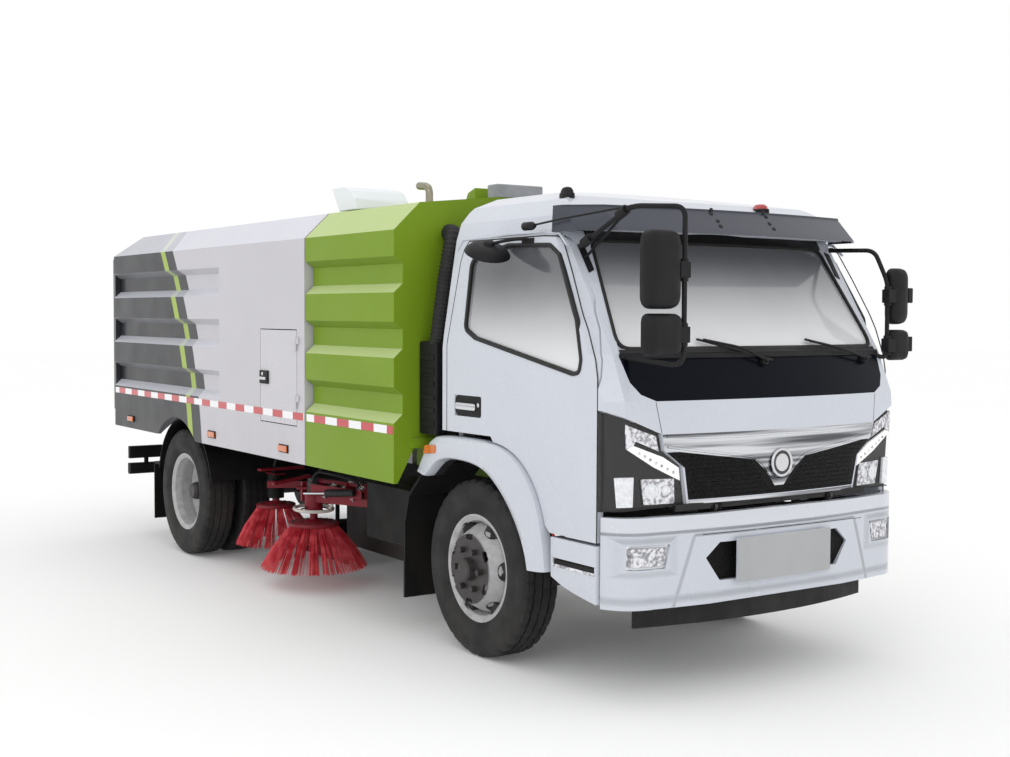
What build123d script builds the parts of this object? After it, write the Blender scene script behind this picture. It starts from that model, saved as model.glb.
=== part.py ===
"""Street sweeper truck: a forward-control cab, a front machine compartment and a
tipping debris hopper on a two-axle chassis, with four side brooms between the axles.

Millimetres.  While a piece is modelled x is measured forward from the front axle,
y to the left and z up from the ground; the last block moves every piece so that the
origin lies on the ground under the middle of the truck.
"""

import os
from math import atan2, cos, degrees, hypot, radians, sin, sqrt

from build123d import *

# ------------------------------------------------------------------ driving sizes
seat_gap = 0.3  # between a piece and what carries it
shaft_gap = 0.05  # radial, between a shaft and its bore
swing_gap = 6  # around a door or lid

wheelbase = 3800
tyre_radius = 470
tyre_width = 235
rim_flange_radius = 285.5
rim_barrel_radius = 254
rim_width = 190
front_flange_y = 930  # outer face of the front rims
rear_flange_y = 1077  # outer face of the outer rear rims
twin_spacing = 280
kingpin_y = 700
kingpin_radius = 20
spindle_radius = 38

rail_outer_y = 375
rail_top = 840
rail_height = 220
rail_flange = 70
rail_gauge = 8
rail_rear = -4930
rail_front = 1040

body_half_width = 1150
body_bottom = 878
body_floor = 1070
eave_z = 2268
roof_edge_y = 986
roof_z = 2424  # at the roof's edge
crown_y = 480
crown_z = 2476
groove_depth = 55
first_groove_z = 2125
groove_pitch = 359
body_wall = 76  # outer face of a ridge to the inside face
hopper_rear = -5190
hopper_front = -1610
hopper_rib_end = -2960
compartment_rear = -1592
compartment_front = -500
panel_gauge = 30

cab_rear = -235
cab_front = 1290
cab_half_width = 1000  # at the rear wall
cab_corner_y = 975  # at the front corner, before rounding
cab_corner_radius = 130
cab_front_bow = 4600  # radius of the front in plan
cab_bottom = 750
cab_floor = 950
floor_gauge = 50
cab_wall = 45
door_gauge = 39
belt_z = 1630
drip_z = 2200
drip_y = 935
cab_roof_z = 2468
tilt_x = 1235  # hinge line that the cab tilts forward about
tilt_z = 905
tilt_pin_radius = 12

bumper_front = 1302
bumper_bottom = 455
bumper_top = 880
bumper_gauge = 40

axle_z = tyre_radius
rear_axle_x = -wheelbase


# ------------------------------------------------------------------ shared forms
def block(x, y, z, mode=Mode.ADD):
    """A box from three (low, high) pairs, in the open part."""
    with Locations(((x[0] + x[1]) / 2, (y[0] + y[1]) / 2, (z[0] + z[1]) / 2)):
        Box(x[1] - x[0], y[1] - y[0], z[1] - z[0], mode=mode)


def side_plate(points, y, mode=Mode.ADD):
    """A plate seen from the side: (x, z) corners, from y[0] to y[1]."""
    with BuildSketch(Plane.XZ.offset(-y[1])) as outline:
        with BuildLine():
            Polyline(*points, close=True)
        make_face()
    extrude(outline.sketch, amount=y[1] - y[0], mode=mode)


def front_plate(points, x, mode=Mode.ADD):
    """A plate seen from the front: (y, z) corners, from x[0] to x[1]."""
    with BuildSketch(Plane.YZ.offset(x[0])) as outline:
        with BuildLine():
            Polyline(*points, close=True)
        make_face()
    extrude(outline.sketch, amount=x[1] - x[0], mode=mode)


def cross_bar(x, y, z, radius, mode=Mode.ADD):
    """A round bar along y, from y[0] to y[1]."""
    with BuildSketch(Plane.XZ.offset(-y[1])) as end:
        with Locations((x, z)):
            Circle(radius)
    extrude(end.sketch, amount=y[1] - y[0], mode=mode)


def mirrored(points):
    """(y, z) corners of one side followed by their mirror images."""
    return points + [(-y, z) for y, z in reversed(points) if y]


# ------------------------------------------------------------------ chassis frame
cross_members = (-4850, -4180, -1950, -1200, 960)  # x of each
hopper_hinge_x, hopper_hinge_z = -5000, 905
hinge_radius = 20
tow_x, tow_radius = -4950, 20.5
barrel_pin_x, barrel_pin_z = -4070, 735  # foot of the tipping cylinder
rod_eye_x, rod_eye_z = -2560, 985
spring_y = {"front": 340, "rear": 430}

with BuildPart() as frame_rails:
    for side in (1, -1):
        with BuildSketch(Plane.YZ.offset(rail_rear)):
            with Locations((side * (rail_outer_y - rail_flange / 2), rail_top - rail_height / 2)):
                Rectangle(rail_flange, rail_height)
            inner_y = rail_outer_y - rail_flange / 2 - rail_gauge
            with Locations((side * inner_y, rail_top - rail_height / 2)):
                Rectangle(rail_flange, rail_height - 2 * rail_gauge, mode=Mode.SUBTRACT)
        extrude(amount=rail_front - rail_rear)
    for x in cross_members:
        web = rail_outer_y - rail_gauge / 2
        block((x - 45, x + 45), (-web, web), (rail_top - 150, rail_top - rail_gauge - 4))
        block((x - 33, x + 45), (-web - 9, web + 9), (rail_top - 138, rail_top - 24), Mode.SUBTRACT)
        for side in (1, -1):
            ends = sorted((side * web, side * (rail_outer_y)))
            block((x - 45, x + 45), ends, (rail_top - 150, rail_top - 12))
    # brackets that carry the cab's tilt pins
    for side in (1, -1):
        plate_y = sorted((side * (rail_outer_y - 20), side * rail_outer_y))
        side_plate(
            [
                (rail_front - 60, rail_top - rail_height + 10),
                (rail_front, rail_top - rail_height),
                (tilt_x, tilt_z - 20),
                (tilt_x - 12, tilt_z + 8),
                (rail_front - 20, rail_top - 10),
                (rail_front - 60, rail_top - 10),
            ],
            plate_y,
        )
        cross_bar(tilt_x, plate_y, tilt_z, 20)
        pin_y = sorted((side * (rail_outer_y - 20), side * (rail_outer_y + 45)))
        cross_bar(tilt_x, pin_y, tilt_z, tilt_pin_radius)
        # brackets and pins of the hopper's hinge
        low_y = sorted((side * rail_outer_y, side * (rail_outer_y + 25)))
        high_y = sorted((side * (rail_outer_y + 2), side * (rail_outer_y + 25)))
        x, z = hopper_hinge_x, hopper_hinge_z
        side_plate([(x + 80, 660), (x + 200, 660), (x + 200, 830), (x + 80, 830)], low_y)
        side_plate([(x - 30, z - 40), (x + 80, 660), (x + 200, 830), (x + 30, z + 40), (x - 30, z + 40)], high_y)
        cross_bar(x, sorted((side * (rail_outer_y - 75), side * (rail_outer_y + 20))), z, hinge_radius)
        # rests under the cab's rear edge
        post_y = sorted((side * 300, side * rail_outer_y))
        block((cab_rear + 25, cab_rear + 85), post_y, (rail_top, cab_floor - seat_gap))
        # spring hangers
        for x in (-620, 620):
            y = sorted((side * (spring_y["front"] - 30), side * (spring_y["front"] + 30)))
            block((x - 30, x + 30), y, (590, rail_top - rail_height))
        for x in (rear_axle_x - 700, rear_axle_x + 700):
            y = sorted((side * rail_outer_y, side * (spring_y["rear"] + 45)))
            block((x - 30, x + 30), y, (650, 760))
        # clevis of the tipping cylinder
        ear_y = sorted((side * 58, side * 74))
        block((-4136, barrel_pin_x + 30), ear_y, (barrel_pin_z - 35, barrel_pin_z + 35))
    cross_bar(barrel_pin_x, (-74, 74), barrel_pin_z, hinge_radius)
    # towing eye on the last cross member
    block((tow_x - 35, cross_members[0] - 40), (-45, 45), (690, 750))
    with Locations((tow_x, 0, 720)):
        Cylinder(tow_radius, 70, mode=Mode.SUBTRACT)

# ------------------------------------------------------------------ axles and springs
beam_eye = 100  # height of the beam's kingpin eye

with BuildPart() as front_axle_beam:
    drop = [
        (0, 330), (430, 330), (560, 400), (640, 420), (kingpin_y, 420),
        (kingpin_y, 420 + beam_eye), (640, 420 + beam_eye), (540, 500), (420, 410), (0, 410),
    ]  # (y, z)
    front_plate(mirrored(drop), (-40, 40))
    for side in (1, -1):
        with BuildSketch(Plane.XY.offset(420)):
            with Locations((0, side * kingpin_y)):
                Circle(46)
        extrude(amount=beam_eye)
        with BuildSketch(Plane.XY.offset(420)):
            with Locations((0, side * kingpin_y)):
                Circle(kingpin_radius + shaft_gap)
        extrude(amount=beam_eye, mode=Mode.SUBTRACT)
        with Locations((0, side * spring_y["front"], 420)):
            Box(120, 76, 20)


def knuckle(side):
    """Kingpin, yoke, steering arm and the spindle that the hub turns on."""
    with BuildPart() as part:
        with BuildSketch(Plane.XY.offset(372)):
            with Locations((0, side * kingpin_y)):
                Circle(kingpin_radius)
        extrude(amount=beam_eye + 96)
        for z in (372, 420 + beam_eye + 2):
            with BuildSketch(Plane.XY.offset(z)):
                with Locations((0, side * kingpin_y)):
                    Circle(44)
                with Locations((0, side * (kingpin_y + 35))):
                    Rectangle(80, 70)
            extrude(amount=46)
        plate = sorted((side * (kingpin_y + 50), side * (kingpin_y + 70)))
        block((-60, 60), plate, (372, 568))
        cross_bar(0, sorted((side * (kingpin_y + 70), side * 985)), axle_z, spindle_radius)
        arm = sorted((side * 620, side * kingpin_y))
        block((-190, -40), sorted((side * 655, side * (kingpin_y - 5))), (378, 398))
        block((-190, -150), arm, (378, 398))
    return part


knuckle_left = knuckle(1)
knuckle_right = knuckle(-1)

diff_radius = 185
tube_radius = 68
with BuildPart() as rear_axle:
    cross_bar(rear_axle_x, (-570, 570), axle_z, tube_radius)
    with BuildSketch(Plane.XZ):
        with Locations((rear_axle_x, axle_z)):
            Circle(diff_radius)
    extrude(amount=110, both=True)
    with BuildSketch(Plane.YZ.offset(rear_axle_x)):
        with Locations((0, axle_z)):
            Circle(95)
    extrude(amount=330)
    cross_bar(rear_axle_x, (-1000, 1000), axle_z, spindle_radius + 12)
    for side in (1, -1):
        pad = sorted((side * (spring_y["rear"] - 38), side * (spring_y["rear"] + 38)))
        block((rear_axle_x - 60, rear_axle_x + 60), pad, (axle_z, 560))


def leaf_pack(x, y, eye_z, seat_z, half_length):
    """A main leaf bent between its hangers and shorter leaves under it."""
    leaf = 13
    for row, share in enumerate((1.0, 0.82, 0.64, 0.46)):
        reach = half_length * share
        sag = (eye_z - seat_z) * share**2
        low = seat_z + (3 - row) * leaf
        with BuildSketch(Plane.XZ.offset(-(y + 35))) as leaf_face:
            with BuildLine():
                ThreePointArc((x - reach, low + sag), (x, low), (x + reach, low + sag))
                Line((x + reach, low + sag), (x + reach, low + sag + leaf))
                ThreePointArc(
                    (x + reach, low + sag + leaf), (x, low + leaf), (x - reach, low + sag + leaf)
                )
                Line((x - reach, low + sag + leaf), (x - reach, low + sag))
            make_face()
        extrude(leaf_face.sketch, amount=70)


with BuildPart() as leaf_springs:
    for side in (1, -1):
        leaf_pack(0, side * spring_y["front"], 537.7, 430 + seat_gap, 640)
        leaf_pack(rear_axle_x, side * spring_y["rear"], 597.7, 560 + seat_gap, 720)

# ------------------------------------------------------------------ wheels


def tyre(y_outs, side):
    """Tyres of one wheel set, turned about the axle."""
    with BuildPart() as part:
        for y_out in y_outs:
            mid = y_out - rim_width / 2
            bead = rim_width / 2 + 1
            wall = tyre_width / 2
            with BuildSketch(Plane.YZ) as section:
                with BuildLine():
                    Polyline(
                        (side * (mid - bead), rim_flange_radius + seat_gap),
                        (side * (mid - wall), 350),
                        (side * (mid - wall + 2), 400),
                        (side * (mid - 96), tyre_radius - 12),
                        (side * (mid - 80), tyre_radius),
                        (side * (mid + 80), tyre_radius),
                        (side * (mid + 96), tyre_radius - 12),
                        (side * (mid + wall - 2), 400),
                        (side * (mid + wall), 350),
                        (side * (mid + bead), rim_flange_radius + seat_gap),
                        close=True,
                    )
                make_face()
            revolve(axis=Axis.Y, revolution_arc=360)
    return part


def moved_part(part, x, z):
    """The part with its axis line moved to (x, z)."""
    part.part = part.part.moved(Location((x, 0, z)))
    return part


def copied(part, shift_y):
    """A copy of the part, moved along y."""
    with BuildPart() as twin:
        add(part.part.moved(Location((0, shift_y, 0))))
    return twin


def reflected(part):
    """The part's mirror image on the other side of the truck."""
    with BuildPart() as twin:
        mirror(part.part, about=Plane.XZ)
    return twin


def turned(points, side):
    """A solid of revolution about Y from (y, radius) corners."""
    with BuildSketch(Plane.YZ) as section:
        with BuildLine():
            Polyline(*[(side * y, r) for y, r in points], close=True)
        make_face()
    revolve(section.sketch, axis=Axis.Y, revolution_arc=360)


hub_bore_front = spindle_radius + shaft_gap
hub_bore_rear = spindle_radius + 12 + shaft_gap
stud_circle = 222.25 / 2
front_disc_y = front_flange_y + 48


def rim_points(y_out):
    """Barrel and flanges of one rim in (y, radius), open towards the axle."""
    y_in = y_out - rim_width
    t = 8
    return [
        (y_out, rim_flange_radius),
        (y_out, rim_flange_radius - 10),
        (y_out - 14, rim_barrel_radius - 2),
        (y_out - 60, rim_barrel_radius - 12),
        (y_in + 60, rim_barrel_radius - 12),
        (y_in + 14, rim_barrel_radius - 2),
        (y_in, rim_flange_radius - 10),
        (y_in, rim_flange_radius),
        (y_in + 10, rim_flange_radius),
        (y_in + 14 + t, rim_barrel_radius + t),
        (y_out - 14 - t, rim_barrel_radius + t),
        (y_out - 10, rim_flange_radius),
    ]


def front_rim(side):
    with BuildPart() as part:
        turned(rim_points(front_flange_y), side)
        # disc: cone from the barrel out to the stud face
        turned(
            [
                (front_flange_y - 70, rim_barrel_radius - 10),
                (front_flange_y - 30, 225),
                (front_disc_y, 180),
                (front_disc_y, 75),
                (front_disc_y - 12, 75),
                (front_disc_y - 12, 176),
                (front_flange_y - 40, 218),
                (front_flange_y - 90, rim_barrel_radius - 12),
            ],
            side,
        )
        # hub: drum, bearing housing and cap
        turned(
            [
                (kingpin_y + 78, hub_bore_front),
                (front_disc_y + 8, hub_bore_front),
                (front_disc_y + 8, 0),
                (front_disc_y + 42, 0),
                (front_disc_y + 42, 46),
                (front_disc_y + 34, 58),
                (front_disc_y, 62),
                (front_disc_y, 90),
                (front_disc_y - 24, 92),
                (front_disc_y - 36, 70),
                (kingpin_y + 100, 70),
                (kingpin_y + 100, 160),
                (kingpin_y + 78, 160),
            ],
            side,
        )
        hand_holes = Plane.XZ.offset(-side * (front_disc_y - 40))
        with BuildSketch(hand_holes):
            with PolarLocations(170, 6, start_angle=30):
                SlotOverall(62, 30, rotation=90)
        extrude(amount=70, both=True, mode=Mode.SUBTRACT)
        with BuildSketch(Plane.XZ.offset(-side * (front_disc_y - 20))):
            with PolarLocations(stud_circle, 6):
                RegularPolygon(17, 6)
        extrude(amount=-side * 46)
    return part


rear_disc_y = rear_flange_y - rim_width / 2 - twin_spacing / 2


def rear_rims(side):
    inner_flange = rear_flange_y - twin_spacing
    with BuildPart() as part:
        turned(rim_points(rear_flange_y), side)
        turned(rim_points(inner_flange), side)
        for sign in (1, -1):  # outer dish opens outwards, inner dish opens inwards
            base = rear_disc_y
            turned(
                [
                    (base, 75),
                    (base, 180),
                    (base + sign * 48, 222),
                    (base + sign * 84, rim_barrel_radius - 5),
                    (base + sign * 98, rim_barrel_radius - 5),
                    (base + sign * 58, 216),
                    (base + sign * 12, 176),
                    (base + sign * 12, 75),
                ],
                side,
            )
        turned(
            [
                (600, hub_bore_rear),
                (960, hub_bore_rear),
                (960, 70),
                (rear_disc_y + 60, 92),
                (rear_disc_y + 11, 92),
                (rear_disc_y - 11, 92),
                (rear_disc_y - 60, 92),
                (640, 92),
                (640, 170),
                (600, 170),
            ],
            side,
        )
        turned([(1000 + 8, 0), (1000 + 8, 62), (1030, 50), (1030, 0)], side)
        turned([(959, hub_bore_rear), (959, 70), (1009, 62), (1009, hub_bore_rear)], side)
        with BuildSketch(Plane.XZ.offset(-side * rear_disc_y)):
            with PolarLocations(196, 6, start_angle=30):
                SlotOverall(56, 28, rotation=90)
        extrude(amount=60, both=True, mode=Mode.SUBTRACT)
        with BuildSketch(Plane.XZ.offset(-side * (rear_disc_y - 20))):
            with PolarLocations(stud_circle, 6):
                RegularPolygon(17, 6)
        extrude(amount=-side * 64)
    return part


front_tyre_left = moved_part(tyre((front_flange_y,), 1), 0, axle_z)
front_tyre_right = reflected(front_tyre_left)
front_rim_left = moved_part(front_rim(1), 0, axle_z)
front_rim_right = reflected(front_rim_left)
rear_pair = (rear_flange_y, rear_flange_y - twin_spacing)
rear_tyres_left = moved_part(tyre(rear_pair, 1), rear_axle_x, axle_z)
rear_tyres_right = reflected(rear_tyres_left)
rear_rims_left = moved_part(rear_rims(1), rear_axle_x, axle_z)
rear_rims_right = reflected(rear_rims_left)

# ------------------------------------------------------------------ drive line and tanks
with BuildPart() as engines:
    # truck engine with its gearbox
    block((-420, 420), (-250, 250), (600, 930))
    block((-1000, -420), (-150, 150), (560, 800))
    block((-60, 60), (-rail_outer_y + rail_gauge + seat_gap, rail_outer_y - rail_gauge - seat_gap), (640, 700))
    # engine of the sweeping gear, inside the compartment
    block((-1350, -700), (-380, 380), (body_floor + panel_gauge + seat_gap, 1850))

shaft_end = rear_axle_x + 330
with BuildPart() as drive_shaft:
    with BuildSketch(Plane.YZ.offset(shaft_end + seat_gap)):
        with Locations((0, axle_z)):
            Circle(62)
    extrude(amount=40)
    with BuildSketch(Plane.YZ.offset(shaft_end + 40)):
        with Locations((0, axle_z)):
            Circle(42)
    with BuildSketch(Plane.YZ.offset(-1060)):
        with Locations((0, 640)):
            Circle(42)
    loft()
    with BuildSketch(Plane.YZ.offset(-1062)):
        with Locations((0, 640)):
            Circle(62)
    extrude(amount=62 - seat_gap)

tank_rear, tank_front = -1420, -760
with BuildPart() as fuel_tank:
    block((tank_rear, tank_front), (440, 880), (400, 780))
    edges_along = fuel_tank.edges().filter_by(Axis.X)
    fillet(edges_along, radius=60)
    block((tank_rear + 80, tank_rear + 130), (rail_outer_y + seat_gap, 445), (640, 740))
    block((tank_front - 130, tank_front - 80), (rail_outer_y + seat_gap, 445), (640, 740))

with BuildPart() as battery_box:
    block((tank_rear, tank_front), (-820, -rail_outer_y - seat_gap), (430, 790))
    chamfer(battery_box.edges().filter_by(Axis.X), length=18)

# ------------------------------------------------------------------ mudguards
arch_radius = 560
with BuildPart() as mudguards:
    for side in (1, -1):
        # behind the front wheels: an apron that curves up to the flare
        y = sorted((side * 640, side * 1000))
        with BuildSketch(Plane.XZ.offset(-y[1])):
            with BuildLine():
                Polyline((-652, 210), (-652, 640), (-600, 800), (-440, 950), (-330, 1010))
                Line((-330, 1010), (-322, 994))
                Polyline((-322, 994), (-430, 936), (-586, 792), (-636, 636), (-636, 210))
                Line((-636, 210), (-652, 210))
            make_face()
        extrude(amount=y[1] - y[0])
        arm_y = sorted((side * (rail_outer_y + seat_gap), side * 660))
        block((-652, -630), arm_y, (700, 730))
        # over the rear wheels: an arch with a flap behind
        y = sorted((side * 560, side * 1090))
        guard, gauge = 550, 10
        with BuildSketch(Plane.XZ.offset(-y[1])):
            with Locations((rear_axle_x, axle_z)):
                Circle(guard)
                Circle(guard - gauge, mode=Mode.SUBTRACT)
            with Locations((rear_axle_x - 60, axle_z + 130 - 600)):
                Rectangle(1400, 1200, mode=Mode.SUBTRACT)
        extrude(amount=y[1] - y[0])
        block((rear_axle_x - 640, rear_axle_x - 628), y, (190, 640))
        block((rear_axle_x - 640, rear_axle_x - 510), y, (624, 640))
        arm_y = sorted((side * (rail_outer_y + seat_gap), side * 600))
        block((rear_axle_x - 640, rear_axle_x - 610), sorted((side * 560, side * 600)), (630, 730))
        block((rear_axle_x - 640, rear_axle_x - 610), arm_y, (700, 730))

with BuildPart() as rear_underrun:
    block((-5150, -5090), (-1060, 1060), (470, 560))
    fillet(rear_underrun.edges().filter_by(Axis.Y), radius=12)
    for side in (1, -1):
        y = sorted((side * (rail_outer_y - 30), side * (rail_outer_y - 6)))
        hanger = [(-5092, 480), (-4910, 560), (-4910, 619.7), (-4780, 619.7)]
        side_plate(hanger + [(-4780, 590), (-4870, 530), (-5000, 470), (-5092, 470)], y)
        lamp_y = sorted((side * 780, side * 1060))
        block((-5140, -5095), lamp_y, (600, 700))
        block((-5130, -5105), sorted((side * 900, side * 930)), (555, 605))

# ------------------------------------------------------------------ body section
groove_table = []  # (z, depth) down the ridged side, from the eave
for groove in range(3):
    top = first_groove_z - groove * groove_pitch
    groove_table += [(top, 0), (top - 40, groove_depth), (top - 148, groove_depth), (top - 198, 0)]


def body_side(ridged, bottom=body_bottom):
    """(y, z) of the left side from the roof's edge down to the skirt."""
    points = [(crown_y, crown_z), (roof_edge_y, roof_z), (body_half_width, eave_z)]
    if ridged:
        points += [(body_half_width - depth, z) for z, depth in groove_table]
    return points + [(body_half_width, bottom)]


inner_y = body_half_width - body_wall
inner_roof = [
    (inner_y, body_floor + panel_gauge),
    (inner_y, eave_z - 30),
    (930, roof_z - panel_gauge),
    (crown_y, crown_z - panel_gauge),
]
skirt = [(body_half_width - 22, body_bottom - 5), (body_half_width - 130, body_floor)]

# ------------------------------------------------------------------ machine compartment
with BuildPart() as compartment:
    span = (compartment_rear, compartment_front)
    front_plate(mirrored(body_side(True)), span)
    front_plate(mirrored(inner_roof), (span[0] + panel_gauge, span[1] - panel_gauge), Mode.SUBTRACT)
    front_plate(mirrored(skirt), span, Mode.SUBTRACT)
    # cross beam along the lower front edge
    block((span[1], span[1] + 22), (-1040, 1040), (body_floor, body_floor + 52))
    # bearers on the frame
    for side in (1, -1):
        y = sorted((side * (rail_outer_y - 60), side * rail_outer_y))
        block((span[0] + 20, span[1] - 60), y, (rail_top + seat_gap, body_floor))

# ------------------------------------------------------------------ on the roof and behind the cab
hood_front, hood_rear, hood_top = -1290, -1585, 2580
roof_top = [(body_half_width, eave_z), (roof_edge_y, roof_z), (crown_y, crown_z)]
with BuildPart() as roof_hood:
    y = (-970, -600)
    side_plate(
        [
            (hood_front, roof_z),
            (hood_front - 90, hood_top - 20),
            (hood_front - 120, hood_top),
            (hood_rear, hood_top),
            (hood_rear, roof_z),
        ],
        y,
    )
    block((hood_rear, hood_rear + 90), (y[0] + 20, y[1] - 20), (2490, hood_top - 20), Mode.SUBTRACT)
    under = [(y, z + seat_gap) for y, z in roof_top] + [(crown_y, 2200), (body_half_width, 2200)]
    under = [(-y, z) for y, z in under]
    front_plate(under, (hood_rear - 10, hood_front + 10), Mode.SUBTRACT)

exhaust_x, exhaust_y = -560, -890
exhaust_foot = 2425
with BuildPart() as exhaust_elbow:
    with BuildLine() as route:
        FilletPolyline(
            (exhaust_x, exhaust_y, exhaust_foot),
            (exhaust_x, exhaust_y, 2530),
            (exhaust_x - 110, exhaust_y, 2545),
            radius=45,
        )
    with BuildSketch(Plane(origin=(exhaust_x, exhaust_y, exhaust_foot), z_dir=(0, 0, 1))):
        Circle(26)
    sweep(path=route.line)
    front_plate(under, (exhaust_x - 60, exhaust_x + 60), Mode.SUBTRACT)

with BuildPart() as intake_stack:
    # corrugated hose
    rings = 22
    with Locations(*[(-365, -800 + ring * 2, 1740 + ring * 22) for ring in range(rings)]):
        Cylinder(62, 12)
    with Locations((-365, -779, 1970)):
        Cylinder(42, 22 * rings + 2)
    block((-430, -300), (-880, -700), (1140, 1728))
    block((-430, -300), (-870, -rail_outer_y - 20), (1090, 1140))
    block((-400, -330), (-rail_outer_y, -rail_outer_y + 60), (rail_top + seat_gap, 1092))
    block((-400, -330), (-420, -rail_outer_y + 60), (1090, 1140))

# ------------------------------------------------------------------ brooms
broom_front = {"x": -2200, "y": 800, "bottom": 120, "radius": 400, "plate": 165, "top": 400}
broom_rear = {"x": -2950, "y": 730, "bottom": 170, "radius": 325, "plate": 140, "top": 430}
arm_pivot_x, arm_pivot_y = -1620, 540
pivot_radius = 22
broom_shaft_radius = 26


broom_motor_low = 496  # underside of the motors; the shafts reach 16 into them
tufts = 24


def broom(size, side):
    """A disc with tufts of bristles that splay to the floor."""
    with BuildPart() as part:
        x, y, top = size["x"], side * size["y"], size["top"]
        with Locations((x, y, top + 20)):
            Cylinder(size["plate"], 40)
        shaft = broom_motor_low + 16 - top
        with Locations((x, y, top + shaft / 2)):
            Cylinder(broom_shaft_radius, shaft)
        root = size["plate"] - 24
        run = size["radius"] - root - 16
        drop = top - size["bottom"]
        splay = Location((root, 0, 0)) * Location((0, 0, 0), (0, -degrees(atan2(run, drop)), 0))
        splay = splay * Location((0, 0, 8 - hypot(run, drop) / 2))
        turns = [Location((x, y, top), (0, 0, 360 / tufts * k)) * splay for k in range(tufts)]
        with Locations(*turns):
            Box(26, 34, hypot(run, drop))
        block((x - 500, x + 500), (y - 500, y + 500), (0, size["bottom"]), Mode.SUBTRACT)
    return part


def broom_arm(side):
    """Swing arm from the frame's pivot back to the broom's motor."""
    size = broom_front
    with BuildPart() as part:
        hinge = (arm_pivot_x, side * arm_pivot_y)
        end = (size["x"], side * size["y"])
        with BuildSketch(Plane.XY.offset(560)):
            with BuildLine():
                Line(hinge, end)
            trace(line_width=70)
        extrude(amount=50)
        with Locations((hinge[0], hinge[1], 585)):
            Cylinder(48, 90)
            Cylinder(pivot_radius + shaft_gap, 90, mode=Mode.SUBTRACT)
        # motor and its socket for the broom's shaft
        with Locations((end[0], end[1], broom_motor_low + 57)):
            Cylinder(60, 114)
        with Locations((end[0], end[1], broom_motor_low + 9)):
            Cylinder(broom_shaft_radius + shaft_gap, 18, mode=Mode.SUBTRACT)
    return part


broom_arm_left = broom_arm(1)
broom_arm_right = broom_arm(-1)
broom_front_left = broom(broom_front, 1)
broom_front_right = copied(broom_front_left, -2 * broom_front["y"])
broom_rear_left = broom(broom_rear, 1)
broom_rear_right = copied(broom_rear_left, -2 * broom_rear["y"])

with BuildPart() as broom_hangers:
    for side in (1, -1):
        # pivot brackets of the swing arms
        x, y = arm_pivot_x, side * arm_pivot_y
        with Locations((x, y, 590)):
            Cylinder(pivot_radius, 150)
        for z in (515, 640):
            block((x - 50, x + 50), sorted((side * (rail_outer_y + seat_gap), side * (arm_pivot_y + 40))), (z, z + 20))
        # fixed arms of the rear brooms
        x, y = broom_rear["x"], side * broom_rear["y"]
        block((x - 35, x + 35), sorted((side * (rail_outer_y + seat_gap), side * (broom_rear["y"] + 20))), (640, 690))
        with Locations((x, y, broom_motor_low + 84)):
            Cylinder(58, 168)
        with Locations((x, y, broom_motor_low + 9)):
            Cylinder(broom_shaft_radius + shaft_gap, 18, mode=Mode.SUBTRACT)

with BuildPart() as suction_nozzle:
    side_plate([(-3270, 40), (-2560, 40), (-2620, 200), (-2840, 290), (-3010, 290), (-3230, 180)], (-370, 370))
    block((-3280, -2550), (-350, 350), (0, 190), Mode.SUBTRACT)
    with BuildSketch(Plane.XY.offset(280)):
        with Locations((-2900, 185)):
            Circle(95)
    extrude(amount=body_floor - 281)
    # bars that hang it from the frame
    for side in (1, -1):
        block((-2760, -2730), sorted((side * 335, side * 355)), (240, rail_top - rail_height - seat_gap))

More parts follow.
